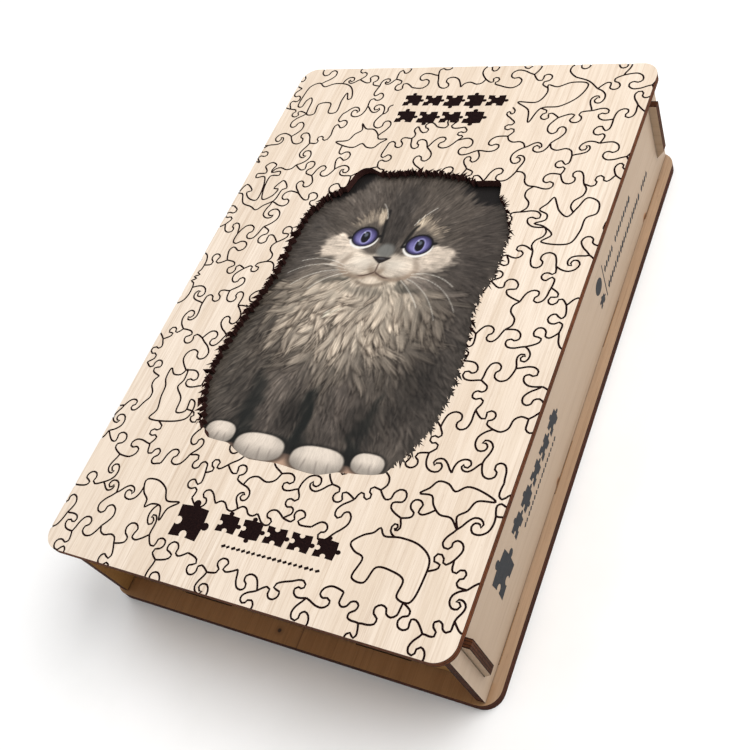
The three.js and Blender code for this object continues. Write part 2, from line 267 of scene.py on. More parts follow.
def soft_spot(x, y, outer, inner, *patch):
    """How far a soft spot covers each dot: wholly within inner half widths, not at all beyond outer."""
    return smooth(outer, inner, ellipse(x, y, *patch))


def laid_over(picture, colour, amount):
    return picture + (np.asarray(colour) - picture) * amount[..., None]


def fur_directions(x, y):
    total_x, total_y, weight = np.zeros_like(x), np.zeros_like(x), np.zeros_like(x)
    for gx, gy, dx, dy in FUR_FLOW:
        near = 1.0 / ((x - gx) ** 2 + (y - gy) ** 2 + 6.0) ** 1.6
        size = np.hypot(dx, dy)
        total_x += near * dx / size
        total_y += near * dy / size
        weight += near
    size = np.hypot(total_x, total_y) + 1e-9
    return total_x / size, total_y / size


def streaks(noise, flow_x, flow_y, steps):
    """Noise smeared along the fur."""
    rows, columns = np.mgrid[0:noise.shape[0], 0:noise.shape[1]].astype(float)
    total = noise.copy()
    for sign in (1, -1):
        c, r = columns.copy(), rows.copy()
        for _ in range(steps):
            c += sign * sample(flow_x, c, r)
            r += sign * sample(flow_y, c, r)
            total += sample(noise, c, r)
    total -= total.mean()
    return total / total.std()


def paint_lock(picture, root, angle, bend, length, half_wide, colour, light, shadow, soft, relief):
    """One tapered lock of fur, curved like a slack S, dark at its root, with a soft shadow round its
    tip."""
    steps = 16
    s = np.linspace(0, 1, steps)
    fall_reach = 0.9 + 0.35 * half_wide
    angle = angle + bend * (s - 0.2) - 0.8 * bend * s ** 3
    path_x = root[0] + np.r_[0, np.cumsum(np.cos(angle[:-1]))] * length / (steps - 1)
    path_y = root[1] + np.r_[0, np.cumsum(np.sin(angle[:-1]))] * length / (steps - 1)
    reach = half_wide + fall_reach + 0.3
    left = int(max(0, (path_x.min() - reach - LOW_X) * DOTS))
    right = int(min(picture.shape[1] - 1, (path_x.max() + reach - LOW_X) * DOTS + 1))
    low = int(max(0, (path_y.min() - reach - LOW_Y) * DOTS))
    high = int(min(picture.shape[0] - 1, (path_y.max() + reach - LOW_Y) * DOTS + 1))
    if right <= left or high <= low:
        return
    x, y = np.meshgrid(LOW_X + np.arange(left, right) / DOTS, LOW_Y + np.arange(low, high) / DOTS)
    k = ((x[..., None] - path_x) ** 2 + (y[..., None] - path_y) ** 2).argmin(-1)
    along = (x - path_x[k]) * np.cos(angle[k]) + (y - path_y[k]) * np.sin(angle[k])
    across = (y - path_y[k]) * np.cos(angle[k]) - (x - path_x[k]) * np.sin(angle[k])
    t = s[k] + along / length
    width = half_wide * np.clip(1.0 - np.clip(t, 0, 1) ** 2.2, 0, 1) * (0.55 + 0.45 * smooth(0, 0.35, t))
    within = width - np.abs(across)
    cover = smooth(-soft, 1.3 * soft, within) * smooth(0.0, 0.35, t) * smooth(1.02, 0.97, t)
    c = np.clip(across / (half_wide + 1e-6), -1, 1)
    ridge = 1.0 - relief * (0.20 * c ** 2 + 0.14 * c)
    tone = light * ridge * (1.06 - 0.34 * relief * smooth(0.85, 0.15, t))
    shade = np.clip(np.asarray(colour) * tone[..., None], 0, 1)
    patch = picture[low:high, left:right]
    fall = smooth(-fall_reach, 0.0, within) * smooth(0.25, 0.7, t) * smooth(1.12, 0.98, t) * shadow
    patch *= 1 - fall[..., None] * (0.92, 0.97, 1.0)
    patch += (shade - patch) * cover[..., None]


def kitten_picture(seed=7):
    chance = np.random.default_rng(seed)
    columns, rows = int(WIDE * DOTS), int(TALL * DOTS)
    x, y = np.meshgrid(LOW_X + np.arange(columns) / DOTS, LOW_Y + np.arange(rows) / DOTS)

    def waves(size):
        """Smooth noise of about unit strength, with patches of the given size."""
        field = blurred(chance.normal(size=x.shape), max(1, int(size * DOTS)))
        return field / field.std()

    ragged_x, ragged_y = x + 0.8 * waves(1.3), y + 0.8 * waves(1.3)
    coat = np.empty(x.shape + (3,))
    coat[:] = DARK_FUR
    for *patch, soft, strength, colour in COAT:
        cover = soft_spot(ragged_x, ragged_y, 1 + soft / 2, 1 - soft, *patch)
        coat = laid_over(coat, colour, strength * cover)
    flow_x, flow_y = fur_directions(x, y)
    turn = waves(1.4) * (0.10 + 0.16 * smooth(8, 0, y))
    flow_x, flow_y = (flow_x * np.cos(turn) - flow_y * np.sin(turn),
                      flow_x * np.sin(turn) + flow_y * np.cos(turn))
    fine = streaks(chance.normal(size=x.shape), flow_x, flow_y, int(1.3 * DOTS))
    broad = streaks(waves(0.3), flow_x, flow_y, int(2.6 * DOTS))
    tufts = streaks(waves(0.8), flow_x, flow_y, int(3.0 * DOTS))
    picture = coat * (1 + 0.07 * fine + 0.07 * broad + 0.07 * tufts)[..., None]

    def at(field, px, py):
        return sample(field, np.array((px - LOW_X) * DOTS), np.array((py - LOW_Y) * DOTS))

    def flow_angle(px, py):
        return np.arctan2(float(at(flow_y, px, py)), float(at(flow_x, px, py)))

    def somewhere(left, right, low, high):
        return chance.uniform(left, right), chance.uniform(low, high)

    def lock(px, py, length, half_wide, light, bend, shadow, soft, relief):
        angle, colour = flow_angle(px, py), at(coat, px, py)
        paint_lock(picture, (px, py), angle, bend, length, half_wide, colour, light, shadow, soft, relief)

    def body_fur():
        """Broad soft locks, the lowest first, then single hairs."""
        spots = [somewhere(*BODY) for _ in range(BODY_LOCKS)]
        for px, py in sorted(spots, key=lambda spot: spot[1]):
            n = chance.normal(size=3)
            light = 1.02 + 0.09 * n[2]
            lock(px, py, 8.5 + 1.6 * n[0], 1.0 + 0.28 * n[1], light, 0.7 * n[0], 0.20, 0.45, 0.8)
        for _ in range(BODY_HAIRS):
            px, py = somewhere(*BODY)
            n = chance.normal(size=3)
            light = 1.02 + 0.11 * n[2]
            lock(px, py, 6.0 + 1.2 * n[0], 0.26 + 0.05 * n[1], light, 0.6 * n[0], 0.06, 0.2, 0.2)

    def head_fur():
        """Finer locks that run out from the face, the outermost first, then single hairs."""
        spots = [somewhere(*HEAD) for _ in range(HEAD_LOCKS + HEAD_HAIRS)]
        locks = sorted(spots[:HEAD_LOCKS], key=lambda spot: -np.hypot(spot[0], spot[1] - 22))
        for k, (px, py) in enumerate(locks + spots[HEAD_LOCKS:]):
            n = chance.normal(size=3)
            if any(ellipse(px, py, *patch) < 1 for patch in BARE_FACE):
                continue
            pale = any(ellipse(px, py, *patch) < 1 for patch in PALE_FACE)
            length = (2.6 if pale else 5.2) + 0.9 * n[0]
            half_wide = 0.55 + 0.14 * n[1] if k < HEAD_LOCKS else 0.2
            light = 1.0 + (0.04 if pale else 0.085) * n[2]
            lock(px, py, length, half_wide, light, 0.35 * n[0], 0.02 if pale else 0.09, 0.3, 0.35)

    def ruff_fur():
        """Broad soft locks that curl together, each a bundle of hairs."""
        spots = []
        while len(spots) < RUFF_LOCKS:
            px, py = somewhere(*RUFF)
            if ellipse(px, py, *RUFF_REACH) < 1 and ellipse(px, py, *FACE_REACH) > 1:
                spots.append((px, py))
        curl, swing, clumps = waves(3.2), waves(4.0), waves(2.6)
        for px, py in sorted(spots, key=lambda spot: spot[1] - 0.10 * abs(spot[0] + 2)):
            n = chance.normal(size=4)
            length = 13.0 + 2.2 * n[0]
            half_wide = np.clip(1.75 + 0.5 * n[1], 0.9, 2.7)
            angle = flow_angle(px, py) + 0.12 * n[2] + 0.30 * float(at(swing, px, py))
            bend = 0.6 * n[3] + 1.9 * float(at(curl, px, py))
            light = 1.0 + 0.05 * n[1] + 0.07 * float(at(clumps, px, py))
            colour = at(coat, px, py)
            paint_lock(picture, (px, py), angle, bend, length * 0.9, half_wide, colour, light, 0.42, 0.7, 0.8)
            aside = np.array((-np.sin(angle), np.cos(angle))) * half_wide * 0.62
            for hair in chance.permutation(np.linspace(-1.0, 1.0, HAIRS_IN_LOCK)):
                tone = light * (1.0 - 0.13 * hair - 0.10 * hair ** 2 + 0.06 * chance.normal())
                run = length * chance.uniform(0.75, 1.15) * (1.0 - 0.2 * abs(hair))
                turned = angle + 0.05 * chance.normal()
                bent = bend + 0.2 * chance.normal()
                root = np.array((px, py)) + aside * hair
                paint_lock(picture, root, turned, bent, run, 0.24, colour, tone, 0.05, 0.25, 0.5)

    body_fur()
    head_fur()
    ruff_fur()
    picture *= (1 + 0.035 * fine)[..., None]
    for *patch, amount in DARK_VALLEYS:
        picture = laid_over(picture, VALLEY, amount * soft_spot(ragged_x, ragged_y, 1.5, 0.3, *patch))
    for patch in EAR_TIPS:
        cover = 0.95 * soft_spot(ragged_x, ragged_y, 1.15, 0.80, *patch)
        picture = laid_over(picture, INK, cover * np.clip(1 - 0.10 * broad, 0, 1))
    # the face is laid over the locks, so that it stays clear
    picture = face(picture, coat * (1 + 0.035 * fine + 0.03 * broad)[..., None], x, y, fine)
    picture = paws(picture, x, y, fine)
    for *patch, _, colour in BROWS:
        middle_x, middle_y, half_wide = patch[:3]
        for _ in range(BROW_HAIRS):
            px = middle_x + chance.normal() * 0.4 * half_wide
            py = middle_y + chance.normal() * 0.4 * half_wide
            if ellipse(px, py, *patch) < 1.1:
                tone = 1.05 + 0.14 * chance.normal()
                angle = flow_angle(px, py) + 0.15 * chance.normal()
                bend = 0.2 * chance.normal()
                paint_lock(picture, (px, py), angle, bend, 3.2, 0.22, colour, tone, 0.06, 0.2, 0.4)
    for *patch, factor in TONES:
        picture = picture * (1 + (factor - 1) * soft_spot(x, y, 1.4, 0.3, *patch))[..., None]
    for whisker in WHISKERS:
        picture = stroke(picture, x, y, whisker, 0.24, (0.90, 0.88, 0.84), 0.7)
    return np.clip(picture, 0, 1)


def face(picture, coat, x, y, fine):
    """The muzzle, mouth, brows, nose and eyes."""
    def layer(colour, amount):
        nonlocal picture
        picture = laid_over(picture, colour, amount)

    def dab(colour, amount, outer, inner, *patch):
        layer(colour, amount * soft_spot(x, y, outer, inner, *patch))

    muzzle = np.max([soft_spot(x, y, 1.25, 0.8, *patch) for patch in MUZZLE], axis=0)
    cheeks = np.max([soft_spot(x, y, 1.1, 0.6, *patch) for patch in CHEEKS], axis=0)
    layer(coat, np.maximum(muzzle * 0.85, cheeks * 0.6))
    # the muzzle's puffs: shade below and at the sides
    for middle_x in (-7.6, 5.0):
        reach = ellipse(x, y, middle_x, 16.0, 8.2, 5.4)
        shade = smooth(0.7, 1.08, reach) * smooth(1.35, 1.08, reach) * smooth(18.5, 12.5, y)
        layer((0.55, 0.47, 0.40), 0.70 * shade)
        dab((0.935, 0.895, 0.835), 0.5, 1.0, 0.2, middle_x, 16.8, 6.56, 3.6)
    chin = ellipse(x, y, -1.9, 10.5, 5.8, 3.0)
    shade = smooth(0.8, 1.05, chin) * smooth(1.6, 1.1, chin) * smooth(10.5, 8.0, y)
    layer((0.40, 0.35, 0.30), 0.6 * shade)
    dab((0.90, 0.84, 0.77), 0.5, 1.0, 0.3, -1.8, 10.2, 3.8, 1.6)
    # a soft valley between each puff and its cheek
    for middle_x, turn in ((-15.2, -28), (13.2, 28)):
        dab((0.56, 0.50, 0.445), 0.62, 1.3, 0.2, middle_x, 17.6, 1.5, 4.4, turn)
    # mouth: a line down from the nose, then out to both sides
    line = smooth(0.42, 0.10, np.abs(x + 1.4)) * smooth(12.7, 13.3, y) * smooth(17.0, 16.4, y)
    for side in (-1, 1):
        run = (x + 1.4) * side
        curve = 13.0 - 2.1 * np.sin(np.clip(run / 7.2, 0, 1) * np.pi * 0.62)
        mark = smooth(0.55, 0.12, np.abs(y - curve)) * smooth(-0.2, 0.3, run) * smooth(7.4, 4.5, run)
        line = np.maximum(line, mark)
    layer((0.30, 0.22, 0.19), 0.85 * line)
    grain = np.clip(0.92 + 0.16 * fine, 0, 1)
    for *patch, amount, colour in BROWS:
        dab(colour, amount * grain, 1.35, 0.45, *patch)
    for crease in CREASES:
        picture = stroke(picture, x, y, crease, 1.0, (0.07, 0.065, 0.06), 0.85)
    # the nose's bridge, the nose and the shine on it
    dab((0.47, 0.47, 0.455), 0.8, 1.2, 0.6, -1.0, 22.6, 3.9, 3.6)
    drop = 19.8 - y
    half = 3.7 - 0.95 * np.abs(drop) ** 1.25 * (drop > 0)
    nose = smooth(0.3, -0.15, np.abs(x + 1.3) - half) * smooth(-0.35, 0.1, drop) * smooth(3.7, 3.1, drop)
    layer((0.13, 0.11, 0.11), 0.97 * nose)
    dab((0.38, 0.38, 0.40), 0.7, 1.0, 0.3, -1.3, 19.1, 2.3, 0.5)
    for eye_x, eye_y, lean in EYES:
        picture = eye(picture, x - eye_x, y - eye_y, lean)
    return picture


def eye(picture, x, y, lean):
    """An eye, with x and y from its middle."""
    def layer(colour, amount):
        nonlocal picture
        picture = laid_over(picture, colour, amount)

    def dab(colour, amount, outer, inner, *patch):
        layer(colour, amount * soft_spot(x, y, outer, inner, *patch))

    lower, upper = smooth(2.0, -1.0, y), smooth(0.5, 3.8, y)
    dab((0.90, 0.885, 0.86), lower, 1.10, 1.0, 0, -0.75, 5.5, 4.55, lean)
    dab((0.05, 0.045, 0.06), 1.0, 1.07, 0.98, 0, 0.15, 5.3, 4.55, lean)
    for tip_x in (-5.5, 5.5):
        tip_y = tip_x * math.tan(math.radians(lean)) - 0.1
        dab((0.05, 0.045, 0.05), 0.9, 1.2, 0.6, tip_x, tip_y, 1.5, 0.75, lean)
    iris = ellipse(x, y, 0, 0, 4.65, 4.1, lean)
    spokes = 0.5 + 0.5 * np.sin(np.arctan2(y, x) * 34)
    ring = smooth(1.0, 0.5, iris) * smooth(0.25, 0.55, iris)
    layer((0.34, 0.32, 0.50), smooth(1.04, 0.94, iris))
    layer((0.56, 0.54, 0.77), ring * (0.5 + 0.35 * spokes) * smooth(3, -2.5, y))
    layer((0.15, 0.13, 0.26), smooth(0.7, 1.0, iris) * smooth(1.06, 0.98, iris) * 0.85)
    layer((0.15, 0.135, 0.25), smooth(1.0, 0.4, iris) * upper * 0.8)
    # the pupil with a pale rim, then its two lights
    dab((0.62, 0.61, 0.80), 0.8, 1.15, 1.0, 0.3, -0.1, 2.05, 3.0)
    dab((0.05, 0.05, 0.08), 1.0, 1.08, 0.92, 0.3, -0.1, 1.75, 2.65)
    dab((0.42, 0.45, 0.50), 0.8, 1.2, 0.4, 0.2, 0.9, 0.9, 1.1)
    dab((0.90, 0.91, 0.95), 0.7, 1.1, 0.6, -0.7, 1.8, 0.45, 0.4)
    return picture


def paws(picture, x, y, fine):
    """The ground under the kitten, and its paws on it."""
    ground = smooth(GROUND_Y, GROUND_Y - 1.0, y)
    picture = laid_over(picture, (0.74, 0.61, 0.52), ground * 0.95)
    under = smooth(GROUND_Y - 3.7, GROUND_Y - 0.2, y) * ground
    picture = laid_over(picture, (0.50, 0.40, 0.35), under * 0.6)
    for paw_x, paw_y, half_wide, half_tall, toes in PAWS:
        across, up = (x - paw_x) / half_wide, (y - paw_y) / half_tall
        reach = (np.abs(across) ** 2.5 + np.abs(up) ** 2.5) ** (1 / 2.5)
        light = 1 - 0.27 * smooth(-0.2, 1.0, 0.6 / half_tall - up) - 0.14 * smooth(0.3, 1.0, np.abs(across))
        body = np.asarray(PAW) * (light * (1 + 0.025 * fine))[..., None]
        picture = picture * (1 - 0.55 * smooth(1.30, 0.98, reach)[..., None])
        picture = laid_over(picture, body, smooth(1.05, 0.95, reach))
        for toe in toes:
            aside = x - paw_x - toe - 0.9 * up ** 2 * np.sign(toe)
            mark = smooth(0.5, 0.1, np.abs(aside)) * smooth(0.8, -1.4, y - paw_y) * smooth(1.0, 0.9, reach)
            picture = laid_over(picture, (0.52, 0.48, 0.45), 0.6 * mark)
    return picture


def stroke(picture, x, y, curve, width, colour, amount):
    """A thin line along a curve given by its start, a point that pulls it, and its end."""
    t = np.linspace(0, 1, 90)[:, None]
    root, pull, tip = (np.array(point) for point in curve)
    path = (1 - t) ** 2 * root + 2 * t * (1 - t) * pull + t ** 2 * tip
    low, high = path.min(0) - 1.2, path.max(0) + 1.2
    near = (x > low[0]) & (x < high[0]) & (y > low[1]) & (y < high[1])
    away = np.min(np.hypot(x[near][:, None] - path[:, 0], y[near][:, None] - path[:, 1]), axis=1)
    cover = np.zeros_like(x)
    cover[near] = smooth(width, 0.2 * width, away) * amount
    return laid_over(picture, colour, cover)


# ---- outlines ----

def rounded_rectangle(width, length, radius):
    quarter = np.linspace(0, math.pi / 2, CORNER_STEPS + 1)
    points = []
    for turn, (side_x, side_y) in enumerate(((1, 1), (-1, 1), (-1, -1), (1, -1))):
        middle = (side_x * (width / 2 - radius), side_y * (length / 2 - radius))
        for angle in quarter + turn * math.pi / 2:
            points.append((middle[0] + radius * math.cos(angle), middle[1] + radius * math.sin(angle)))
    return np.array(points)


def smooth_curve(points, step, closed=False):
    """A centripetal spline through the points, with a new point about every step."""
    points = np.asarray(points, float)
    if closed:
        padded = np.vstack((points[-1], points, points[:2]))
    else:
        padded = np.vstack((2 * points[0] - points[1], points, 2 * points[-1] - points[-2]))
    found = []
    for a, b, c, d in zip(padded[:-3], padded[1:-2], padded[2:-1], padded[3:]):
        knots = np.cumsum([0] + [max(1e-6, math.dist(p, q)) ** 0.5 for p, q in ((a, b), (b, c), (c, d))])
        count = max(1, int(round(math.dist(b, c) / step)))
        for t in np.linspace(knots[1], knots[2], count, endpoint=False):
            def between(p, q, low, high):
                return p + (q - p) * (t - low) / (high - low)
            ab = between(a, b, knots[0], knots[1])
            bc = between(b, c, knots[1], knots[2])
            cd = between(c, d, knots[2], knots[3])
            abc = between(ab, bc, knots[0], knots[2])
            bcd = between(bc, cd, knots[1], knots[3])
            found.append(between(abc, bcd, knots[1], knots[2]))
    if not closed:
        found.append(points[-1])
    return np.array(found)


def resampled(points, step, closed=False):
    """Points at equal steps along a line."""
    points = np.asarray(points, float)
    if closed:
        points = np.vstack((points, points[:1]))
    travelled = np.r_[0, np.cumsum(np.hypot(*np.diff(points, axis=0).T))]
    count = max(2, int(round(travelled[-1] / step)))
    wanted = np.linspace(0, travelled[-1], count + 1)
    if closed:
        wanted = wanted[:-1]
    return np.column_stack([np.interp(wanted, travelled, points[:, k]) for k in (0, 1)])


def inside(outline, points):
    """Which points lie inside a closed outline."""
    points = np.atleast_2d(points)
    a, b = outline, np.roll(outline, -1, axis=0)
    px, py = points[:, 0, None], points[:, 1, None]
    crosses = (a[:, 1] > py) != (b[:, 1] > py)
    rise = np.where(b[:, 1] == a[:, 1], 1e-9, b[:, 1] - a[:, 1])
    return (crosses & (px < (b[:, 0] - a[:, 0]) * (py - a[:, 1]) / rise + a[:, 0])).sum(1) % 2 == 1


def distances(points, others):
    """From each point to each of the others."""
    return np.hypot(points[:, None, 0] - others[:, 0], points[:, None, 1] - others[:, 1])


def anticlockwise(loop):
    after = np.roll(loop, -1, axis=0)
    return loop if np.sum(loop[:, 0] * after[:, 1] - after[:, 0] * loop[:, 1]) > 0 else loop[::-1]


def closed_lines(steps):
    """The closed lines that steps from one point to the next make."""
    following = dict(steps)
    lines = []
    while following:
        start, here = following.popitem()
        line = [start]
        while here != start:
            line.append(here)
            here = following.pop(here)
        lines.append(line)
    return lines


def cad_outline(name):
    """The line round a flat CAD board's top face, or round its window, that has the most points."""
    mesh = nodes[name].data
    top = max(v.co.z for v in mesh.vertices)
    spots = [(round(v.co.x / MM, 3), round(v.co.y / MM, 3)) for v in mesh.vertices]
    edges = {}
    for face in mesh.polygons:
        if min(mesh.vertices[i].co.z for i in face.vertices) < top - 1e-6:
            continue
        loop = [spots[i] for i in face.vertices]
        for a, b in zip(loop, loop[1:] + loop[:1]):
            if (b, a) in edges:
                del edges[b, a]
            else:
                edges[a, b] = True
    return np.array(max(closed_lines(list(edges)), key=len))


# ---- the jigsaw cuts engraved on the lid ----

# Shapes that a cut takes between two crossings: [along, out], in parts of its length
CUT_SHAPES = [
    [(0.15, 0.12), (0.33, 0.21), (0.53, 0.18), (0.63, 0.05), (0.56, -0.07), (0.44, -0.09),
     (0.37, -0.18), (0.42, -0.29), (0.58, -0.33), (0.77, -0.23), (0.9, -0.09)],
    [(0.16, -0.03), (0.31, -0.03), (0.38, 0.06), (0.31, 0.17), (0.33, 0.3), (0.46, 0.37),
     (0.61, 0.32), (0.66, 0.2), (0.57, 0.12), (0.51, 0.04), (0.6, -0.04), (0.78, -0.04)],
    [(0.1, 0.1), (0.2, 0.19), (0.34, 0.18), (0.4, 0.07), (0.36, -0.04), (0.43, -0.15),
     (0.57, -0.16), (0.64, -0.05), (0.61, 0.08), (0.7, 0.16), (0.84, 0.11), (0.93, 0.04)],
    [(0.1, 0.16), (0.28, 0.3), (0.5, 0.31), (0.66, 0.2), (0.64, 0.05), (0.52, 0.0),
     (0.42, 0.07), (0.43, 0.15), (0.34, 0.1), (0.36, -0.04), (0.5, -0.13), (0.7, -0.1), (0.87, -0.03)],
    [(0.18, 0.11), (0.38, 0.09), (0.6, -0.09), (0.82, -0.11)],
    [(0.2, 0.05), (0.29, 0.2), (0.4, 0.02), (0.47, 0.17), (0.58, -0.03), (0.66, 0.1), (0.8, 0.02)],
]
SHAPE_ODDS = [0.36, 0.25, 0.13, 0.17, 0.08, 0.01]

# Pieces with a shape of their own, in half sizes, and where they lie: [x, y, half size, turn]
ANCHOR_HALF = [(0, 1), (0.2, 0.86), (0.1, 0.68), (0.1, 0.56), (0.42, 0.56), (0.42, 0.4), (0.11, 0.4),
               (0.11, -0.58), (0.44, -0.45), (0.56, -0.2), (0.4, -0.16), (0.66, 0.14), (0.86, -0.2),
               (0.72, -0.24), (0.56, -0.66), (0.22, -0.84), (0, -1)]
SHAPES = {
    "anchor": ANCHOR_HALF + [(-x, y) for x, y in ANCHOR_HALF[-2:0:-1]],
    "elephant": [(-0.97, -0.35), (-0.83, -0.38), (-0.74, -0.1), (-0.6, 0.02), (-0.52, -0.12), (-0.5, -0.76),
                 (-0.24, -0.76), (-0.2, -0.32), (0.24, -0.32), (0.3, -0.76), (0.57, -0.76), (0.62, -0.2),
                 (0.72, 0.1), (0.84, -0.22), (0.94, -0.18), (0.84, 0.26), (0.6, 0.5), (0.1, 0.6),
                 (-0.26, 0.5), (-0.5, 0.7), (-0.8, 0.58), (-0.93, 0.2)],
    "bird": [(-1, 0.34), (-0.72, 0.46), (-0.48, 0.62), (-0.2, 0.5), (-0.02, 0.25), (0.3, 0.34), (0.62, 0.2),
             (1.05, -0.2), (0.55, -0.12), (0.3, -0.36), (0.02, -0.48), (0.02, -0.84), (-0.14, -0.5),
             (-0.45, -0.36), (-0.62, -0.05), (-0.66, 0.22)],
    "fish": [(1, 0), (0.62, 0.34), (0.2, 0.42), (0, 0.66), (-0.12, 0.38), (-0.5, 0.16), (-1, 0.5),
             (-0.84, 0), (-1, -0.5), (-0.5, -0.16), (0, -0.4), (0.62, -0.34)],
    "cat": [(-0.42, 0.98), (-0.24, 0.76), (0.04, 0.76), (0.22, 0.98), (0.26, 0.56), (0.14, 0.32),
            (0.46, -0.1), (0.52, -0.6), (0.84, -0.52), (0.86, -0.1), (1.06, -0.2), (1.04, -0.72),
            (0.7, -0.9), (-0.4, -0.9), (-0.24, -0.6), (-0.32, -0.1), (-0.34, 0.3), (-0.46, 0.56)],
    "bear": [(-1.05, -0.02), (-0.86, 0.26), (-0.66, 0.4), (-0.56, 0.56), (-0.4, 0.42), (0, 0.52), (0.5, 0.52),
             (0.86, 0.32), (0.96, -0.1), (0.92, -0.72), (0.6, -0.72), (0.54, -0.32), (0.2, -0.24),
             (-0.18, -0.3), (-0.28, -0.72), (-0.6, -0.72), (-0.6, -0.22), (-0.86, -0.16)],
    "squirrel": [(-0.8, 0.3), (-0.62, 0.56), (-0.5, 0.8), (-0.34, 0.54), (-0.2, 0.3), (0.1, 0.1), (0.3, 0.44),
                 (0.5, 0.84), (0.86, 0.7), (0.92, 0.28), (0.66, 0.1), (0.62, -0.4), (0.44, -0.86),
                 (-0.4, -0.86), (-0.16, -0.6), (-0.5, -0.3), (-0.8, -0.22), (-0.5, -0.06), (-0.52, 0.14)],
}
SHAPE_PLACES = [
    ("elephant", -57.5, 96, 12.5, 6), ("anchor", -64.5, 47, 12.5, 10), ("fish", 41, 95, 12.5, 35),
    ("squirrel", 60.5, 39, 11.5, 0), ("cat", -56, -49.5, 11, 4), ("bear", 47, -87.5, 13, -8),
    ("bird", 60, -66, 11, 20), ("bird", -31, 73, 10.5, 200), ("fish", -40, -86, 8.5, 150),
]

# Where nothing is cut, because the marks are there: [left, low, right, top]
KEPT_CLEAR = [(-24.5, 80, 26, 101), (-32.5, -101.5, 34.5, -84)]


def cut_between(start, end, shape, side, height, backwards):
    """A cut of the given shape from one crossing to another."""
    along = end - start
    outward = np.array((-along[1], along[0])) * side * height
    points = [(1 - f, o) for f, o in reversed(shape)] if backwards else shape
    line = [start] + [start + along * forward + outward * out for forward, out in points] + [end]
    return smooth_curve(line, CURVE_STEP)


def too_close(line, others, clearance):
    """Whether a cut, apart from its ends, comes near any of the others."""
    from_start = np.hypot(*(line - line[0]).T)
    from_end = np.hypot(*(line - line[-1]).T)
    free = line[(from_start > 1.5) & (from_end > 1.5)]
    if not len(free):
        return False
    low, high = free.min(0) - clearance, free.max(0) + clearance
    for other in others:
        near = other[((other > low) & (other < high)).all(1)]
        if len(near) and distances(free, near).min() < clearance:
            return True
    return False


def lid_cuts(window, half_width, half_length, seed=31):
    """Every engraved line: the shaped pieces' outlines, and the cuts between all the others."""
    chance = np.random.default_rng(seed)
    outlines = []
    for name, x, y, size, turn in SHAPE_PLACES:
        c, s = math.cos(math.radians(turn)), math.sin(math.radians(turn))
        points = np.array(SHAPES[name]) * size @ np.array(((c, s), (-s, c))) + (x, y)
        outlines.append(smooth_curve(points, CURVE_STEP, closed=True))
    row_pitch = 1.5 * CELL_SIDE
    column_pitch = math.sqrt(3) * CELL_SIDE
    rows = range(-int(half_length / row_pitch) - 2, int(half_length / row_pitch) + 3)
    columns = range(-int(half_width / column_pitch) - 2, int(half_width / column_pitch) + 3)
    crossing = {}
    for row in rows:
        for column in columns:
            middle_x = (column + 0.5 * (row % 2)) * column_pitch
            for end in (0, 1):
                spot = np.array((middle_x, row * row_pitch + (end - 0.5) * CELL_SIDE))
                crossing[row, column, end] = spot + chance.uniform(-NODE_SCATTER, NODE_SCATTER, 2)
    keys, spots = list(crossing), np.array(list(crossing.values()))
    lost = inside(window, spots)
    for left, low, right, top in KEPT_CLEAR:
        gaps = np.hstack((spots - (left, low), (right, top) - spots))
        within = gaps.min(1) > 0
        lost |= within & (gaps.min(1) > CLEAR_DEPTH)
        for k in np.flatnonzero(within):
            side = gaps[k].argmin()
            spots[k, side % 2] = (left, low, right, top)[side]
    held = {}
    for index, outline in enumerate(outlines):
        for k in np.flatnonzero(inside(outline, spots)):
            spots[k] = outline[np.hypot(*(outline - spots[k]).T).argmin()]
            held[keys[k]] = index
        gap = distances(spots, outline)
        for k in np.flatnonzero(gap.min(1) < SNAP_REACH):
            spots[k] = outline[gap[k].argmin()]
            held[keys[k]] = index
    crossing = dict(zip(keys, spots))
    gone = {key for key, flag in zip(keys, lost) if flag}
    links = []
    for row, column, end in keys:
        if end == 0:
            links.append(((row, column, 0), (row, column, 1)))
        else:
            for step in (0, -1):
                links.append(((row, column, 1), (row + 1, column + step + (row % 2), 0)))
    cuts = list(outlines)
    for a, b in links:
        if b not in crossing or (a in held and held.get(b) == held[a]):
            continue
        if a in gone and b in gone:
            continue
        start, end = crossing[a], crossing[b]
        reach = np.abs((start, end)).max(0)
        blocked = any(box[0] < p[0] < box[2] and box[1] < p[1] < box[3]
                      for box in KEPT_CLEAR for p in (start, end, (start + end) / 2))
        if blocked or reach[0] > half_width + 9 or reach[1] > half_length + 9 or math.dist(start, end) < 3:
            continue
        for attempt in range(CUT_TRIES):
            shape = CUT_SHAPES[chance.choice(len(CUT_SHAPES), p=SHAPE_ODDS)]
            height = chance.uniform(0.95, 1.3) * (1 - 0.02 * attempt)
            line = cut_between(start, end, shape, chance.choice((-1, 1)), height, chance.random() < 0.5)
            if not too_close(line, cuts, CUT_CLEARANCE * (1 - 0.02 * attempt)):
                break
        else:
            line = cut_between(start, end, [(0.5, chance.uniform(-0.1, 0.1))], 1, 1, False)
            if too_close(line, cuts, 0.5):
                continue
        cuts.append(line)
    return outlines, cuts[len(outlines):]


# ---- materials ----

def linear(colour):
    """A display colour, 0 to 1, as light."""
    c = np.asarray(colour, float)
    return np.where(c <= 0.04045, c / 12.92, ((c + 0.055) / 1.055) ** 2.4)


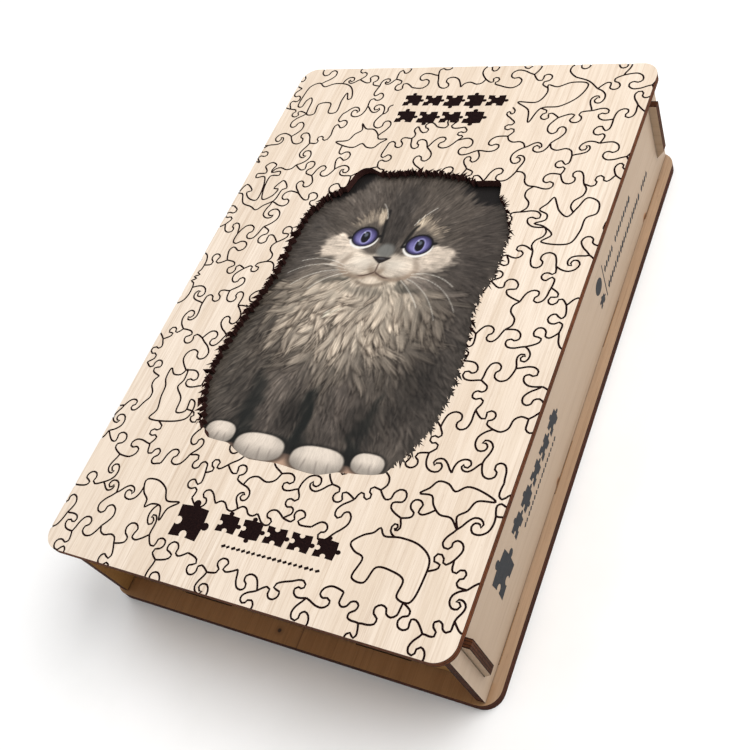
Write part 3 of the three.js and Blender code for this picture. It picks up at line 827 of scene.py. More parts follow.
class Shader:
    """A material whose nodes are made one call at a time."""

    def __init__(self, name, roughness=0.6, sheen=0.5):
        self.material = bpy.data.materials.new(name)
        self.material.use_nodes = True
        self.tree = self.material.node_tree
        self.surface = self.tree.nodes["Principled BSDF"]
        self.surface.inputs["Roughness"].default_value = roughness
        self.surface.inputs["Specular IOR Level"].default_value = sheen
        self.place = self.node("ShaderNodeTexCoord").outputs["Object"]

    def node(self, kind, inputs=None, **settings):
        made = self.tree.nodes.new(kind)
        for key, value in settings.items():
            setattr(made, key, value)
        for key, value in (inputs or {}).items():
            self.feed(made.inputs[key], value)
        return made

    def feed(self, socket, value):
        if isinstance(value, bpy.types.NodeSocket):
            self.tree.links.new(value, socket)
        elif socket.type == "RGBA" and len(value) == 3:
            socket.default_value = (*linear(value), 1)
        else:
            socket.default_value = value

    def set(self, name, value):
        self.feed(self.surface.inputs[name], value)

    def math(self, operation, a, b=0.0):
        return self.node("ShaderNodeMath", {0: a, 1: b}, operation=operation).outputs[0]

    def between(self, value, low, high, to_low=0.0, to_high=1.0):
        """Value carried smoothly from one range to another."""
        made = self.node("ShaderNodeMapRange", {0: value, 1: low, 2: high, 3: to_low, 4: to_high},
                         interpolation_type="SMOOTHSTEP")
        return made.outputs[0]

    def mix(self, amount, a, b, blend="MIX"):
        made = self.node("ShaderNodeMix", data_type="RGBA", blend_type=blend)
        self.feed(made.inputs[0], amount)
        self.feed(made.inputs[6], a)
        self.feed(made.inputs[7], b)
        return made.outputs[2]

    def noise(self, stretch, scale, detail=3.0, roughness=0.55, twist=0.0):
        """Noise over the object, stretched along its axes; scale is in waves per metre."""
        moved = self.node("ShaderNodeMapping", {"Vector": self.place, "Scale": stretch})
        made = self.node("ShaderNodeTexNoise", {"Vector": moved.outputs[0], "Scale": scale, "Detail": detail,
                                                "Roughness": roughness, "Distortion": twist})
        return made.outputs[0]

    def set_bump(self, height, strength, distance):
        inputs = {"Height": height, "Strength": strength, "Distance": distance}
        self.set("Normal", self.node("ShaderNodeBump", inputs).outputs[0])

    def axes(self):
        """The place along each axis, in metres."""
        return self.node("ShaderNodeSeparateXYZ", {0: self.place}).outputs


def stretched(grain, along):
    """Noise scales that draw a grain out along one axis."""
    return tuple(along if k == grain else 1.0 for k in range(3))


EVEN = (1, 1, 1)


def wood(name, pale, dark, warm, grain, roughness=0.6, streaks=1.0, parts=None):
    """Bare veneer with its grain along an axis: drawn-out streaks, finer fibres, short dark pores, and
    a slow drift of tone. Parts, if given, adds what is special to one board: parts(shader, colour)
    gives the new colour."""
    s = Shader(name, roughness)
    broad = s.noise(stretched(grain, 0.03), 190, 3, 0.6, 0.5)
    streak = s.noise(stretched(grain, 0.022), 1000, 4, 0.65, 0.3)
    fibre = s.noise(stretched(grain, 0.02), 2600, 3, 0.7)
    pore = s.noise(stretched(grain, 0.09), 2100, 2, 0.6)
    drift = s.noise(EVEN, 14, 2, 0.5)
    pores = s.between(pore, 0.66, 0.76)
    colour = s.mix(s.between(broad, 0.42, 0.66, 0.0, 0.5 * streaks), pale, warm)
    colour = s.mix(s.between(streak, 0.50, 0.74, 0.0, 0.55 * streaks), colour, dark)
    colour = s.mix(s.between(fibre, 0.35, 0.72, 0.0, 0.34 * streaks), colour, dark)
    colour = s.mix(s.between(drift, 0.35, 0.7, 0.0, 0.35), colour, warm)
    colour = s.mix(s.math("MULTIPLY", pores, 0.35 * streaks), colour, dark)
    s.set("Base Color", parts(s, colour) if parts else colour)
    s.set("Roughness", s.between(fibre, 0.2, 0.8, roughness + 0.06, roughness - 0.06))
    height = s.math("SUBTRACT", s.math("MULTIPLY", fibre, 0.5), s.math("MULTIPLY", pores, 0.8))
    s.set_bump(height, 0.35, 0.00008)
    return s.material


def burnt_edge(name, axis, low, high, plies=3, brown=(0.40, 0.215, 0.105), black=(0.085, 0.045, 0.035)):
    """The edge that a laser leaves on plywood: brown plies, charred glue lines and charred rims.
    Low and high are the board's faces along the axis, in metres."""
    s = Shader(name, 0.8, 0.12)
    wobble = s.noise(EVEN, 260, 3, 0.6)
    shift = s.math("MULTIPLY", s.math("SUBTRACT", wobble, 0.5), 0.08)
    depth = s.math("DIVIDE", s.math("SUBTRACT", s.axes()[axis], low), high - low)
    depth = s.math("ADD", depth, shift)
    wave = s.math("ABSOLUTE", s.math("SUBTRACT", s.math("FRACT", s.math("MULTIPLY", depth, plies)), 0.5))
    glue = s.between(wave, 0.33, 0.47)
    rim = s.between(s.math("ABSOLUTE", s.math("SUBTRACT", depth, 0.5)), 0.33, 0.46)
    soot = s.noise(EVEN, 900, 4, 0.65)
    patch = s.noise(EVEN, 55, 2, 0.5)
    paler = tuple(min(1, 1.3 * c) for c in brown)
    colour = s.mix(s.between(patch, 0.35, 0.7), brown, paler)
    colour = s.mix(s.between(soot, 0.42, 0.75, 0.0, 0.65), colour, black)
    colour = s.mix(s.math("MULTIPLY", glue, 0.85), colour, black)
    colour = s.mix(s.math("MULTIPLY", rim, 0.9), colour, black)
    s.set("Base Color", colour)
    height = s.math("SUBTRACT", soot, s.math("MULTIPLY", glue, 0.8))
    s.set_bump(height, 0.5, 0.0002)
    return s.material


def charred(name, colour, ash, roughness=0.85):
    """The floor of an engraved line."""
    s = Shader(name, roughness, 0.08)
    speck = s.noise(EVEN, 2400, 4, 0.7)
    s.set("Base Color", s.mix(s.between(speck, 0.35, 0.75), colour, ash))
    s.set_bump(speck, 0.5, 0.0001)
    return s.material


def ink(name, colour, worn):
    """Dark grey print on wood, thinner where the fibres stand up."""
    s = Shader(name, 0.55, 0.15)
    fibre = s.noise(stretched(1, 0.05), 2400, 3, 0.7)
    s.set("Base Color", s.mix(s.between(fibre, 0.55, 0.8, 0.0, 0.6), colour, worn))
    s.set_bump(fibre, 0.3, 0.00005)
    return s.material


def printed(name):
    """The picture, held as a colour at every point of the surface, under a thin clear varnish."""
    s = Shader(name, 0.5, 0.1)
    shown = s.node("ShaderNodeVertexColor", layer_name="picture").outputs["Color"]
    fibre = s.noise(stretched(1, 0.02), 2600, 3, 0.7)
    pore = s.between(s.noise(stretched(1, 0.09), 1900, 2, 0.6), 0.66, 0.78)
    colour = s.mix(s.between(fibre, 0.3, 0.8, 0.0, 0.10), shown, (0.2, 0.17, 0.15))
    colour = s.mix(s.math("MULTIPLY", pore, 0.15), colour, (0.12, 0.1, 0.09))
    s.set("Base Color", colour)
    s.set("Roughness", s.between(fibre, 0.2, 0.8, 0.58, 0.48))
    s.set_bump(s.math("SUBTRACT", fibre, pore), 0.2, 0.00006)
    return s.material


def scorched_foot(foot):
    """A board's lower rim: a thin charred line where it meets the base, with amber flares."""
    def parts(s, colour):
        flare = s.between(s.noise((1, 1, 0), 70, 1, 0.4), 0.62, 0.72)
        reach = s.math("ADD", s.math("MULTIPLY", flare, 0.0016), 0.0004)
        near = s.math("DIVIDE", s.math("SUBTRACT", s.axes()[2], foot), reach)
        amber = s.math("MULTIPLY", s.between(near, 1.6, 0.6), flare)
        colour = s.mix(amber, colour, (0.66, 0.40, 0.16))
        return s.mix(s.between(near, 1.0, 0.35, 0.0, 0.7), colour, (0.24, 0.15, 0.10))
    return parts


def lid_shadow_and_scorched_foot(foot, front, reach):
    """A scorched lower rim, and painted shade from the lid on what is nearer than y = front and left of x =
    reach.
    """
    rim = scorched_foot(foot)

    def parts(s, colour):
        across, along, _ = s.axes()
        near = s.between(along, front + 0.0006, front + 0.0002)
        inward = s.between(across, reach + 0.0008, reach - 0.0008)
        # painted shade: what lies under the lid's overhang at the near end is multiplied darker and browner
        colour = s.mix(s.math("MULTIPLY", near, inward), colour, (0.88, 0.75, 0.50), "MULTIPLY")
        return rim(s, colour)
    return parts


def lid_shadow_knot_and_seam(end, reach, knot, seam):
    """A board's near end, darkened and browned up to x = reach as painted shade from the lid, with a knot
    in its veneer and a seam at x = seam."""
    def parts(s, colour):
        across, along, _ = s.axes()
        inward = s.between(across, reach + 0.0025, reach - 0.0025)
        # painted shade: the strip in front of the near end wall lies in the lid's shadow
        painted_shade = s.math("MULTIPLY", s.between(along, end + 0.0012, end), inward)
        colour = s.mix(painted_shade, colour, (0.96, 0.865, 0.71), "MULTIPLY")
        aside = s.math("ABSOLUTE", s.math("SUBTRACT", across, seam))
        line = s.math("MULTIPLY", s.between(aside, 0.0003, 0.00015, 0.0, 0.5), painted_shade)
        colour = s.mix(line, colour, (0.2, 0.12, 0.07))
        away = s.node("ShaderNodeVectorMath", {0: s.place, 1: knot}, operation="DISTANCE").outputs["Value"]
        colour = s.mix(s.between(away, 0.0026, 0.0008, 0.0, 0.35), colour, (0.28, 0.17, 0.09))
        return s.mix(s.between(away, 0.0009, 0.0005, 0.0, 0.9), colour, (0.13, 0.07, 0.045))
    return parts


# ---- meshes ----

def mesh_object(name, points, faces, materials, face_materials=None, colours=None):
    """A mesh from points in millimetres, with each face's material and each point's colour if given."""
    mesh = bpy.data.meshes.new(name)
    mesh.from_pydata((np.asarray(points, float) * MM).tolist(), [], faces)
    for material in materials:
        mesh.materials.append(material)
    if face_materials is not None:
        mesh.polygons.foreach_set("material_index", np.asarray(face_materials, np.int32))
    if colours is not None:
        layer = mesh.color_attributes.new("picture", "FLOAT_COLOR", "POINT")
        flat = np.ones((len(colours), 4), np.float32)
        flat[:, :3] = linear(colours)
        layer.data.foreach_set("color", flat.ravel())
    mesh.validate()
    mesh.update()
    made = bpy.data.objects.new(name, mesh)
    bpy.context.scene.collection.objects.link(made)
    return made


def grid_faces(rows, columns):
    """The four-sided faces between the points of a grid, numbered row by row."""
    k = np.arange(rows * columns).reshape(rows, columns)
    return np.stack((k[:-1, :-1], k[:-1, 1:], k[1:, 1:], k[1:, :-1]), -1).reshape(-1, 4)


def pictured_plate(name, flat, tops, kinds, rim, low, high, scale, materials):
    """A board that shows the picture, grown by scale, on top. Flat is its top face's points, tops its
    faces and kinds their materials; rim is the numbers of the points round it, anticlockwise."""
    count, edge = len(flat), len(rim)
    after = np.roll(np.arange(edge), -1)
    lower = np.arange(count, count + edge)
    points = np.vstack((np.column_stack((flat, np.full(count, high))),
                        np.column_stack((flat[rim], np.full(edge, low)))))
    sides = np.column_stack((rim[after], rim, lower, lower[after]))
    faces = tops + sides.tolist() + [lower[::-1].tolist()]
    painted = np.r_[kinds, np.full(edge, 1), [2]]
    colours = picture_at(points[:, :2] / scale)
    return mesh_object(name, points, faces, materials, painted, colours)


def ribbon_faces(line, half_width):
    """A line given a width, as four-sided pieces that share their ends."""
    ahead = np.gradient(line, axis=0)
    ahead /= np.hypot(*ahead.T)[:, None] + 1e-9
    aside = np.column_stack((-ahead[:, 1], ahead[:, 0])) * half_width
    left, right = line + aside, line - aside
    return [np.array((right[k], right[k + 1], left[k + 1], left[k])) for k in range(len(line) - 1)]


def cut_up(outline, holes, marks):
    """Splits a board's face into triangles. Each is given with its kind: 0 plain, 1 and up the mark
    list that it lies in. Returns points, triangles and kinds."""
    points, faces, kinds = [], [], []
    loops = [(loop, 0) for loop in [outline] + holes]
    loops += [(loop, number) for number, group in enumerate(marks, start=1) for loop in group]
    for loop, kind in loops:
        faces.append(list(range(len(points), len(points) + len(loop))))
        points.extend(Vector(p) for p in loop)
        kinds.append(kind)
    found, _, triangles, _, _, owners = delaunay_2d_cdt(points, [], faces, 0, 1e-5)
    flat = np.array([tuple(p) for p in found])
    triangles = np.array([tuple(t) for t in triangles])
    middle = flat[triangles].mean(1)
    kept = inside(outline, middle)
    for hole in holes:
        kept &= ~inside(hole, middle)
    found_kinds = [max([kinds[k] for k in owner], default=0) for owner in owners]
    keep = np.flatnonzero(kept)
    return flat, [tuple(int(v) for v in triangles[k]) for k in keep], [found_kinds[k] for k in keep]


def engraved_board(name, outline, holes, marks, depths, low, high, materials):
    """A board with marks cut into its top face. Materials: face, edge, back, one for each list of
    marks, then the walls of its holes. Depths are the depths of the marks, in the same order."""
    flat, triangles, kinds = cut_up(outline, holes, marks)
    height = [high] + [high - d for d in depths]
    hole_low, hole_high = holes[0].min(0) - 1, holes[0].max(0) + 1

    def wall_material(a):
        in_hole = (a > hole_low).all() and (a < hole_high).all()
        return len(materials) - 1 if in_hole else 1

    index, points = {}, []

    def at(vertex, z):
        key = (vertex, z)
        if key not in index:
            index[key] = len(points)
            points.append((flat[vertex][0], flat[vertex][1], z))
        return index[key]

    faces, painted = [], []
    sides = {}
    for triangle, kind in zip(triangles, kinds):
        z = height[kind]
        faces.append([at(v, z) for v in triangle])
        painted.append(0 if kind == 0 else 2 + kind)
        faces.append([at(v, low) for v in reversed(triangle)])
        painted.append(2)
        for a, b in zip(triangle, triangle[1:] + triangle[:1]):
            sides[a, b] = (z, kind)
    for (a, b), (z, kind) in sides.items():
        other_z, other_kind = sides.get((b, a), (low, None))
        if other_z < z:
            faces.append([at(b, z), at(a, z), at(a, other_z), at(b, other_z)])
            painted.append(2 + other_kind if other_kind is not None else wall_material(flat[a]))
    return mesh_object(name, points, faces, materials, painted)


def extruded(name, loops, place, thickness, material):
    """Flat plates from closed outlines; place turns [x, y] and a height into a point."""
    points, faces = [], []
    for loop in map(anticlockwise, loops):
        base, count = len(points), len(loop)
        points += [place(p, thickness) for p in loop] + [place(p, 0.0) for p in loop]
        for triangle in tessellate_polygon([[Vector((*p, 0)) for p in loop]]):
            a, b, c = (loop[k] for k in triangle)
            turn = (b[0] - a[0]) * (c[1] - a[1]) - (b[1] - a[1]) * (c[0] - a[0])
            triangle = triangle if turn > 0 else triangle[::-1]
            faces.append([base + k for k in triangle])
            faces.append([base + count + k for k in reversed(triangle)])
        for k in range(count):
            n = (k + 1) % count
            faces.append([base + n, base + k, base + count + k, base + count + n])
    return mesh_object(name, points, faces, [material])


# ---- generic marks that stand where lettering would be ----

KNOB_RADIUS = 0.13
KNOB_TURNS = np.radians(np.linspace(-128, 128, 9))


def jigsaw_icon(x, y, width, height, knobs=(1, 1, -1, -1)):
    """A jigsaw piece: a knob is out (1) or in (-1) on its right, top, left and low sides."""
    corners = np.array(((-0.5, -0.5), (0.5, -0.5), (0.5, 0.5), (-0.5, 0.5)))
    outline = []
    for start, end, knob in zip(corners, np.roll(corners, -1, axis=0), np.roll(knobs, 1)):
        along = end - start
        outward = np.array((along[1], -along[0])) * knob
        outline.append(start)
        for angle in KNOB_TURNS:
            forward, out = 0.5 + KNOB_RADIUS * math.sin(angle), 0.115 + KNOB_RADIUS * math.cos(angle)
            outline.append(start + along * forward + outward * out)
    return np.array(outline) * (width, height) + (x, y)


def icon_row(x, y, count, pitch, width, height, seed):
    """A row of jigsaw pieces with differing knobs."""
    chance = np.random.default_rng(seed)
    row = []
    for k in range(count):
        knobs = (1, int(chance.choice((-1, 1))), -1, int(chance.choice((-1, 1))))
        row.append(jigsaw_icon(x + k * pitch, y, width, height, knobs))
    return row


def lozenge(x, y, width, height):
    return np.array(((-0.5, 0), (-0.2, -0.5), (0.5, -0.05), (0.2, 0.5))) * (width, height) + (x, y)


def dash_row(x, y, end, pitch, height, seed):
    """A row of small dashes of differing length, in groups."""
    chance = np.random.default_rng(seed)
    row = []
    while x < end:
        length = chance.uniform(0.75, 1.0) * pitch
        if chance.random() > 0.05:
            row.append(lozenge(x + length / 2, y, length, height * chance.uniform(0.8, 1.0)))
        x += pitch
    return row


# ---- the lid ----

# Where the window's rim is smooth, at the two ears' tips: [x, y, half width, half height]
SMOOTH_RIM = [(-24, 54, 8.5, 7), (31.5, 52.5, 8, 5)]
# The rim's curve there
EAR_RIMS = [
    [(-29.8, 45.4), (-27.6, 48.6), (-26.8, 52.0), (-25.7, 55.8), (-23.4, 58.0), (-20.4, 58.2), (-17.4, 57.0),
     (-15.0, 56.0)],
    [(22.4, 53.8), (26.0, 54.2), (30.5, 54.5), (32.9, 54.2), (34.0, 53.0), (34.6, 50.4), (35.4, 46.8)],
]
# The rim has no fur below PAWS_END, and lower clumps right of RIGHT_SIDE
PAWS_END = -59.5
RIGHT_SIDE = 25

# Jigsaw icons on the lid: [x of the first, y, count, pitch, width, height, seed]
LID_ICONS = [(-17.2, 93.8, 5, 8.8, 7.0, 5.6, 3), (-17.0, 85.0, 4, 9.6, 7.6, 5.8, 8),
             (-9.6, -89.6, 5, 9.0, 7.1, 5.8, 12)]


def with_ear(outline, ear):
    """The outline with the stretch between the ear's two ends replaced by the ear's smooth curve."""
    curve = smooth_curve(ear, RIM_STEP)
    first, last = (int(np.hypot(*(outline - end).T).argmin()) for end in (curve[0], curve[-1]))
    count = len(outline)
    if (last - first) % count > count / 2:
        curve, first, last = curve[::-1], last, first
    rest = (last + 1 + np.arange((first - last - 1) % count)) % count
    return np.vstack((curve, outline[rest]))


def clump_heights(count, chance):
    """How far the clumps of fur stand out along the rim: each rises slowly and falls back quickly."""
    spots, heights = [0.0], [0.0]
    while spots[-1] < count:
        length = chance.uniform(9, 17)
        spots += [spots[-1] + 0.65 * length, spots[-1] + length]
        heights += [chance.uniform(0.2, 1.5), 0.0]
    return np.interp(np.arange(count), spots, heights)


def fine_window():
    """The window's outline with its fur cut finer: clumps, and leaning teeth of differing size on them."""
    chance = np.random.default_rng(5)
    even = resampled(cad_outline("lid_panel"), RIM_STEP, closed=True)
    even = sum(np.roll(even, k, axis=0) for k in range(-2, 3)) / 5
    for ear in EAR_RIMS:
        even = with_ear(even, ear)
    count = len(even)
    ahead = np.roll(even, -5, axis=0) - np.roll(even, 5, axis=0)
    ahead /= np.hypot(*ahead.T)[:, None]
    outward = np.column_stack((ahead[:, 1], -ahead[:, 0]))
    outward *= np.sign((outward * (even - even.mean(0))).sum(1))[:, None]
    swell = clump_heights(count, chance)
    points, k = [], 0
    while k < count:
        spot = even[k]
        on_ear = any(ellipse(*spot, *patch) < 1 for patch in SMOOTH_RIM)
        if spot[1] < PAWS_END or on_ear:
            points.append(spot)
            k += 2
            continue
        clump = chance.random() < 0.4
        on_right = spot[0] > RIGHT_SIDE
        step = int(chance.integers(6, 10)) if clump and not on_right else int(chance.integers(3, 6))
        tall = chance.uniform(0.9, 1.8) if clump else chance.uniform(0.3, 0.8)
        tip = (k + step // 2) % count
        fall = np.array((0.0, -0.5 if spot[1] < 42 else 0.15)) * tall
        stands = 0.35 if on_right else 1.0
        points.append(spot + (stands * swell[k] - 0.22) * outward[k])
        points.append(even[tip] + outward[tip] * (tall + stands * swell[tip]) + fall)
        k += step
    return np.array(points)


lid_low, lid_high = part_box("lid_panel")
lid_size = (lid_high - lid_low) / MM
lid_top, lid_under = lid_high.z / MM, lid_low.z / MM
window = fine_window()
lid_outline = rounded_rectangle(lid_size.x, lid_size.y, CORNER_RADIUS)
shapes, cuts = lid_cuts(window, lid_size.x / 2, lid_size.y / 2)
grooves = [face for cut in cuts for face in ribbon_faces(cut, GROOVE_HALF_WIDTH)]
for shape in shapes:
    grooves += ribbon_faces(np.vstack((shape, shape[:1])), GROOVE_HALF_WIDTH)

burnt_marks = [icon for row in LID_ICONS for icon in icon_row(*row)]
burnt_marks.append(jigsaw_icon(-23.6, -92.2, 10.8, 10.8))
burnt_marks += dash_row(-8.3, -96.5, 26, 1.9, 1.5, 4)

veneer = wood("lid_veneer", (0.905, 0.846, 0.78), (0.70, 0.605, 0.51), (0.835, 0.76, 0.675), 1, streaks=1.2)
lid_edge = burnt_edge("lid_edge", 2, lid_low.z, lid_high.z, 2, (0.35, 0.185, 0.08), (0.085, 0.035, 0.02))
groove_char = charred("groove_char", (0.09, 0.025, 0.025), (0.16, 0.075, 0.06))
window_char = charred("window_char", (0.21, 0.125, 0.125), (0.33, 0.21, 0.18))
mark_char = charred("mark_char", (0.06, 0.015, 0.02), (0.14, 0.07, 0.062))
lid_back = wood("lid_back", (0.86, 0.775, 0.65), (0.66, 0.54, 0.41), (0.80, 0.69, 0.55), 1)
lid_materials = [veneer, lid_edge, lid_back, groove_char, mark_char, window_char]
lid = engraved_board("engraved_lid", lid_outline, [window], [grooves, burnt_marks],
                     [GROOVE_DEPTH, MARK_DEPTH], lid_under, lid_top, lid_materials)
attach(lid, "lid")
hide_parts("lid_panel")


# ---- the picture ----

picture = kitten_picture()


def picture_at(points):
    """The picture's colour at points in millimetres from its middle."""
    return sample(picture, (points[:, 0] - LOW_X) * DOTS, (points[:, 1] - LOW_Y) * DOTS)


def lined(low, fine_low, fine_high, high):
    """Grid lines: wide apart outside the fine stretch."""
    fine = np.linspace(fine_low, fine_high, int(round((fine_high - fine_low) / PICTURE_GRID)) + 1)
    return np.r_[np.linspace(low, fine_low, 4)[:-1], fine, np.linspace(fine_high, high, 4)[1:]]


def picture_board():
    """The board under the lid: a fine grid of colours where the window shows it."""
    low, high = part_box("picture_panel")
    clear_low, clear_high = window.min(0) - 0.8, window.max(0) + 0.8
    xs, ys = (lined(low[k] / MM, clear_low[k], clear_high[k], high[k] / MM) for k in (0, 1))
    grid_x, grid_y = np.meshgrid(xs, ys)
    flat = np.column_stack((grid_x.ravel(), grid_y.ravel()))
    k = np.arange(len(flat)).reshape(len(ys), len(xs))
    rim = np.r_[k[0, :-1], k[:-1, -1], k[-1, :0:-1], k[:0:-1, 0]]
    quads = grid_faces(len(ys), len(xs))
    middle = flat[quads].mean(1)
    shown = ((middle > clear_low) & (middle < clear_high)).all(1)
    edge = burnt_edge("liner_edge", 2, low.z, high.z, 3)
    back = wood("liner_back", (0.84, 0.75, 0.62), (0.62, 0.5, 0.37), (0.78, 0.66, 0.52), 1)
    made = pictured_plate("kitten_picture", flat, quads.tolist(), np.where(shown, 0, 2), rim, low.z / MM,
                          high.z / MM, 1.0, [printed("picture_print"), edge, back])
    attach(made, "lid")
    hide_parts("picture_panel")


picture_board()


# ---- the loose pieces ----

def fine_piece(name, materials):
    """A loose piece with a smooth outline and its part of the picture on top."""
    low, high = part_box(name)
    outline = anticlockwise(smooth_curve(cad_outline(name), 0.55, closed=True))
    step = PIECE_GRID
    xs, ys = (np.arange(outline[:, k].min() + step, outline[:, k].max(), step) for k in (0, 1))
    grid_x, grid_y = np.meshgrid(xs, ys)
    inner = np.column_stack((grid_x.ravel(), grid_y.ravel()))
    inner = inner[inside(outline, inner)]
    inner = inner[distances(inner, outline).min(1) > 0.35]
    spots = [Vector(p) for p in np.vstack((outline, inner))]
    found, _, triangles, _, _, owners = delaunay_2d_cdt(spots, [], [list(range(len(outline)))], 0, 1e-5)
    flat = np.array([tuple(p) for p in found])
    triangles = [list(t) for t, owner in zip(triangles, owners) if owner]
    edges = {(t[k], t[(k + 1) % 3]) for t in triangles for k in range(3)}
    rim = np.array(closed_lines((a, b) for a, b in edges if (b, a) not in edges)[0])
    made = pictured_plate("printed_" + name, flat, triangles, [0] * len(triangles), rim, low.z / MM,
                          high.z / MM, PUZZLE_SCALE, materials)
    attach(made, name.replace("puzzle_piece", "loose_piece"))
    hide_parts(name)


def all_loose_pieces():
    names = sorted(n for n in nodes if n.startswith("puzzle_piece"))
    low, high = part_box(names[0])
    shown = printed("piece_print")
    edge = burnt_edge("piece_edge", 2, low.z, high.z, 3)
    back = wood("piece_back", (0.85, 0.76, 0.63), (0.62, 0.5, 0.37), (0.78, 0.66, 0.52), 1)
    for name in names:
        fine_piece(name, [shown, edge, back])


all_loose_pieces()


# ---- the box ----

def finish_board(name, axis, face, edge):
    """Gives a CAD board one material on its two faces and another on its edges."""
    mesh = nodes[name].data
    mesh.materials.clear()
    mesh.materials.append(face)
    mesh.materials.append(edge)
    for polygon in mesh.polygons:
        polygon.material_index = 0 if abs(polygon.normal[axis]) > 0.7 else 1


# How far the painted shade from the lid reaches across the near end: over the end wall, and over the base in
# front of it
WALL_SHADE_REACH = 0.068
BASE_SHADE_REACH = 0.072
# The brown and the black of burnt edges
BASE_BURNT = ((0.24, 0.105, 0.04), (0.065, 0.022, 0.01))
LONG_BURNT = ((0.24, 0.115, 0.045), (0.07, 0.028, 0.014))
END_BURNT = ((0.27, 0.155, 0.09), (0.085, 0.035, 0.022))

base_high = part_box("base_panel")[1]
near_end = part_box("end_wall_near")[0].y
# The walls stand in the base, and show from its top up
wall_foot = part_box("long_wall_right")[0].z + BASE_THICKNESS
# The base's near strip gets painted shade from the lid, and has a knot and a seam in its veneer
base_wood = wood("base_wood", (0.665, 0.55, 0.44), (0.49, 0.375, 0.27), (0.60, 0.48, 0.365), 1, 0.62,
                 parts=lid_shadow_knot_and_seam(near_end, BASE_SHADE_REACH, KNOT, SEAM))
# The left long wall beyond the near end wall, and the near end wall's outer face, get painted shade from the
# lid
long_wood = wood("long_wall_wood", (0.715, 0.63, 0.545), (0.58, 0.495, 0.41), (0.67, 0.58, 0.49), 1,
                 0.66, 0.7, lid_shadow_and_scorched_foot(wall_foot, near_end, 0.0))
end_wood = wood("end_wall_wood", (0.70, 0.61, 0.515), (0.56, 0.465, 0.37), (0.65, 0.555, 0.45), 0,
                0.66, 0.7, lid_shadow_and_scorched_foot(wall_foot, near_end, WALL_SHADE_REACH))
for node, axis, face_wood, plies, burnt in (
        ("base_panel", 2, base_wood, 2, BASE_BURNT),
        ("long_wall_left", 0, long_wood, 3, LONG_BURNT), ("long_wall_right", 0, long_wood, 3, LONG_BURNT),
        ("end_wall_near", 1, end_wood, 3, END_BURNT), ("end_wall_far", 1, end_wood, 3, END_BURNT)):
    low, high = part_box(node)
    edge = burnt_edge(node + "_edge", axis, low[axis], high[axis], plies, *burnt)
    finish_board(node, axis, face_wood, edge)


def slot_glue():
    """Brown glue in the narrow gaps beside the long walls' tabs, just below the base's top."""
    depth, inset = 0.4, 0.02
    half = TAB_LENGTH / 2 + SLOT_GAP
    foot = base_high.z / MM - 0.05 - depth

    def place(point, height):
        return (point[0], point[1], foot + height)

    loops = []
    for node in ("long_wall_left", "long_wall_right"):
        low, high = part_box(node)
        for face_x, side in ((low.x / MM, -1), (high.x / MM, 1)):
            inner, outer = face_x + side * inset, face_x + side * (SLOT_GAP - inset)
            for step in (-1.5, -0.5, 0.5, 1.5):
                near, far = step * TAB_PITCH - half, step * TAB_PITCH + half
                loops.append(np.array(((inner, near), (outer, near), (outer, far), (inner, far))))
    made = extruded("slot_glue", loops, place, depth, charred("glue", (0.62, 0.49, 0.36), (0.48, 0.35, 0.23)))
    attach(made, "box")


slot_glue()


def wall_print():
    """Dark grey marks on the right long wall, read from the right with the wall's foot below."""
    face_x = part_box("long_wall_right")[1].x / MM + 0.005

    def place(point, height):
        return (face_x + height, point[0], point[1])

    loops = [jigsaw_icon(-76.5, 24.2, 11.5, 11.5)]
    loops += icon_row(-61.4, 26.3, 5, 9.0, 7.0, 5.6, 12)
    loops += dash_row(-59, 20.2, -28, 1.9, 1.6, 4)
    turn = np.linspace(0, 2 * math.pi, 28, endpoint=False)
    ring = np.column_stack((np.cos(turn), np.sin(turn)))
    loops += [ring * 3.1 + (28.2, 26.4), jigsaw_icon(28.1, 18.4, 4.4, 3.4)]
    loops += [np.array(((32.5, 15.8), (33.0, 15.8), (34.2, 30.5), (33.7, 30.5)))]
    loops += dash_row(35, 26.4, 66.5, 2.2, 3.3, 6) + dash_row(35, 18.0, 86.8, 2.2, 3.4, 9)
    grey = ink("wall_ink", (0.135, 0.15, 0.17), (0.29, 0.285, 0.28))
    made = extruded("wall_print", loops, place, 0.06, grey)
    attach(made, "box")


wall_print()


# ---- the floor, the light and the camera ----

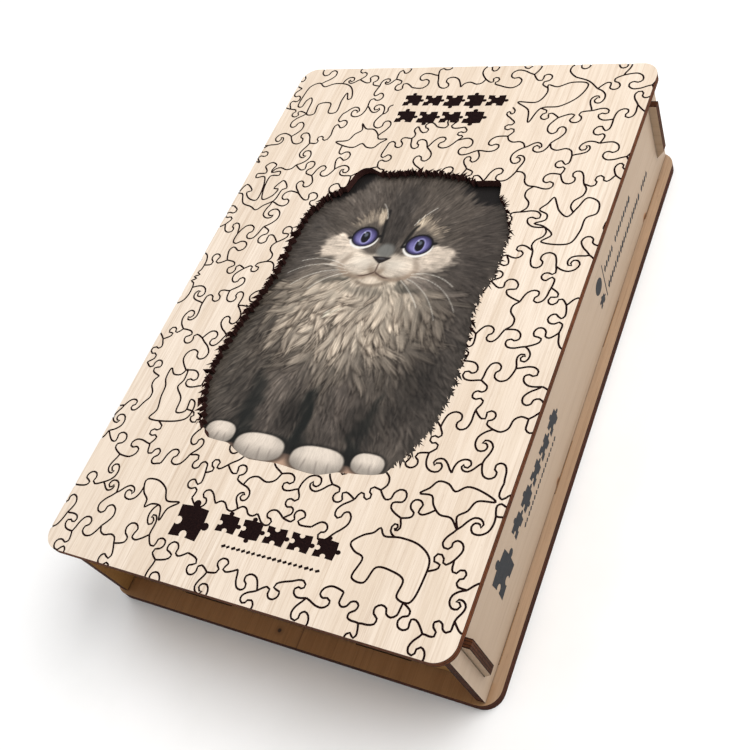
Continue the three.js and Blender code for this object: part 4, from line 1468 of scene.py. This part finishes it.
def floor():
    """A pale flat floor just below the box."""
    half, steps = 1.6, 24
    line = np.linspace(-half, half, steps + 1) / MM
    grid_x, grid_y = np.meshgrid(line, line)
    points = np.column_stack((grid_x.ravel(), grid_y.ravel(), np.full(grid_x.size, -0.05)))
    s = Shader("floor_paint", 0.8)
    grain = s.noise(EVEN, 30, 3)
    s.set("Base Color", s.mix(s.between(grain, 0.3, 0.7), (0.985, 0.985, 0.985), (0.97, 0.97, 0.968)))
    return mesh_object("floor", points, grid_faces(steps + 1, steps + 1).tolist(), [s.material])


def area_light(name, place, target, size, power, colour):
    data = bpy.data.lights.new(name, "AREA")
    data.shape = "DISK"
    data.size = size
    data.energy = power
    data.color = colour
    made = bpy.data.objects.new(name, data)
    made.location = place
    made.rotation_euler = (Vector(target) - Vector(place)).to_track_quat("-Z", "Y").to_euler()
    bpy.context.scene.collection.objects.link(made)


floor()
area_light("key_light", (0.55, 0.35, 1.0), (0, 0, 0.03), 1.0, 12, (1.0, 0.99, 0.975))
area_light("fill_light", (-0.7, 0.3, 0.9), (0, 0, 0.03), 0.9, 3.5, (0.97, 0.98, 1.0))
world = bpy.data.worlds.new("studio")
world.use_nodes = True
world.node_tree.nodes["Background"].inputs["Color"].default_value = (1, 1, 1, 1)
world.node_tree.nodes["Background"].inputs["Strength"].default_value = 0.5
bpy.context.scene.world = world
bpy.context.scene.view_settings.view_transform = "Standard"

# The camera's place in metres, the way it looks, what is up in its picture, and its lens
CAMERA_PLACE = Vector((0.1742, -0.16736, 0.29434))
AHEAD = Vector((-0.4875, 0.4216, -0.7646)).normalized()
UPWARD = Vector((-0.1328, 0.8297, 0.5422))
LENS, SENSOR_WIDTH = 48.385, 36
SHIFT_X, SHIFT_Y = 0.00714, 0.00416


def camera():
    data = bpy.data.cameras.new("camera")
    data.lens = LENS
    data.sensor_width = SENSOR_WIDTH
    data.shift_x = SHIFT_X
    data.shift_y = SHIFT_Y
    data.clip_start = 0.01
    made = bpy.data.objects.new("camera", data)
    right = AHEAD.cross(UPWARD).normalized()
    turned = Matrix((right, right.cross(AHEAD), -AHEAD)).transposed().to_4x4()
    made.matrix_world = Matrix.Translation(CAMERA_PLACE) @ turned
    bpy.context.scene.collection.objects.link(made)
    bpy.context.scene.camera = made


camera()
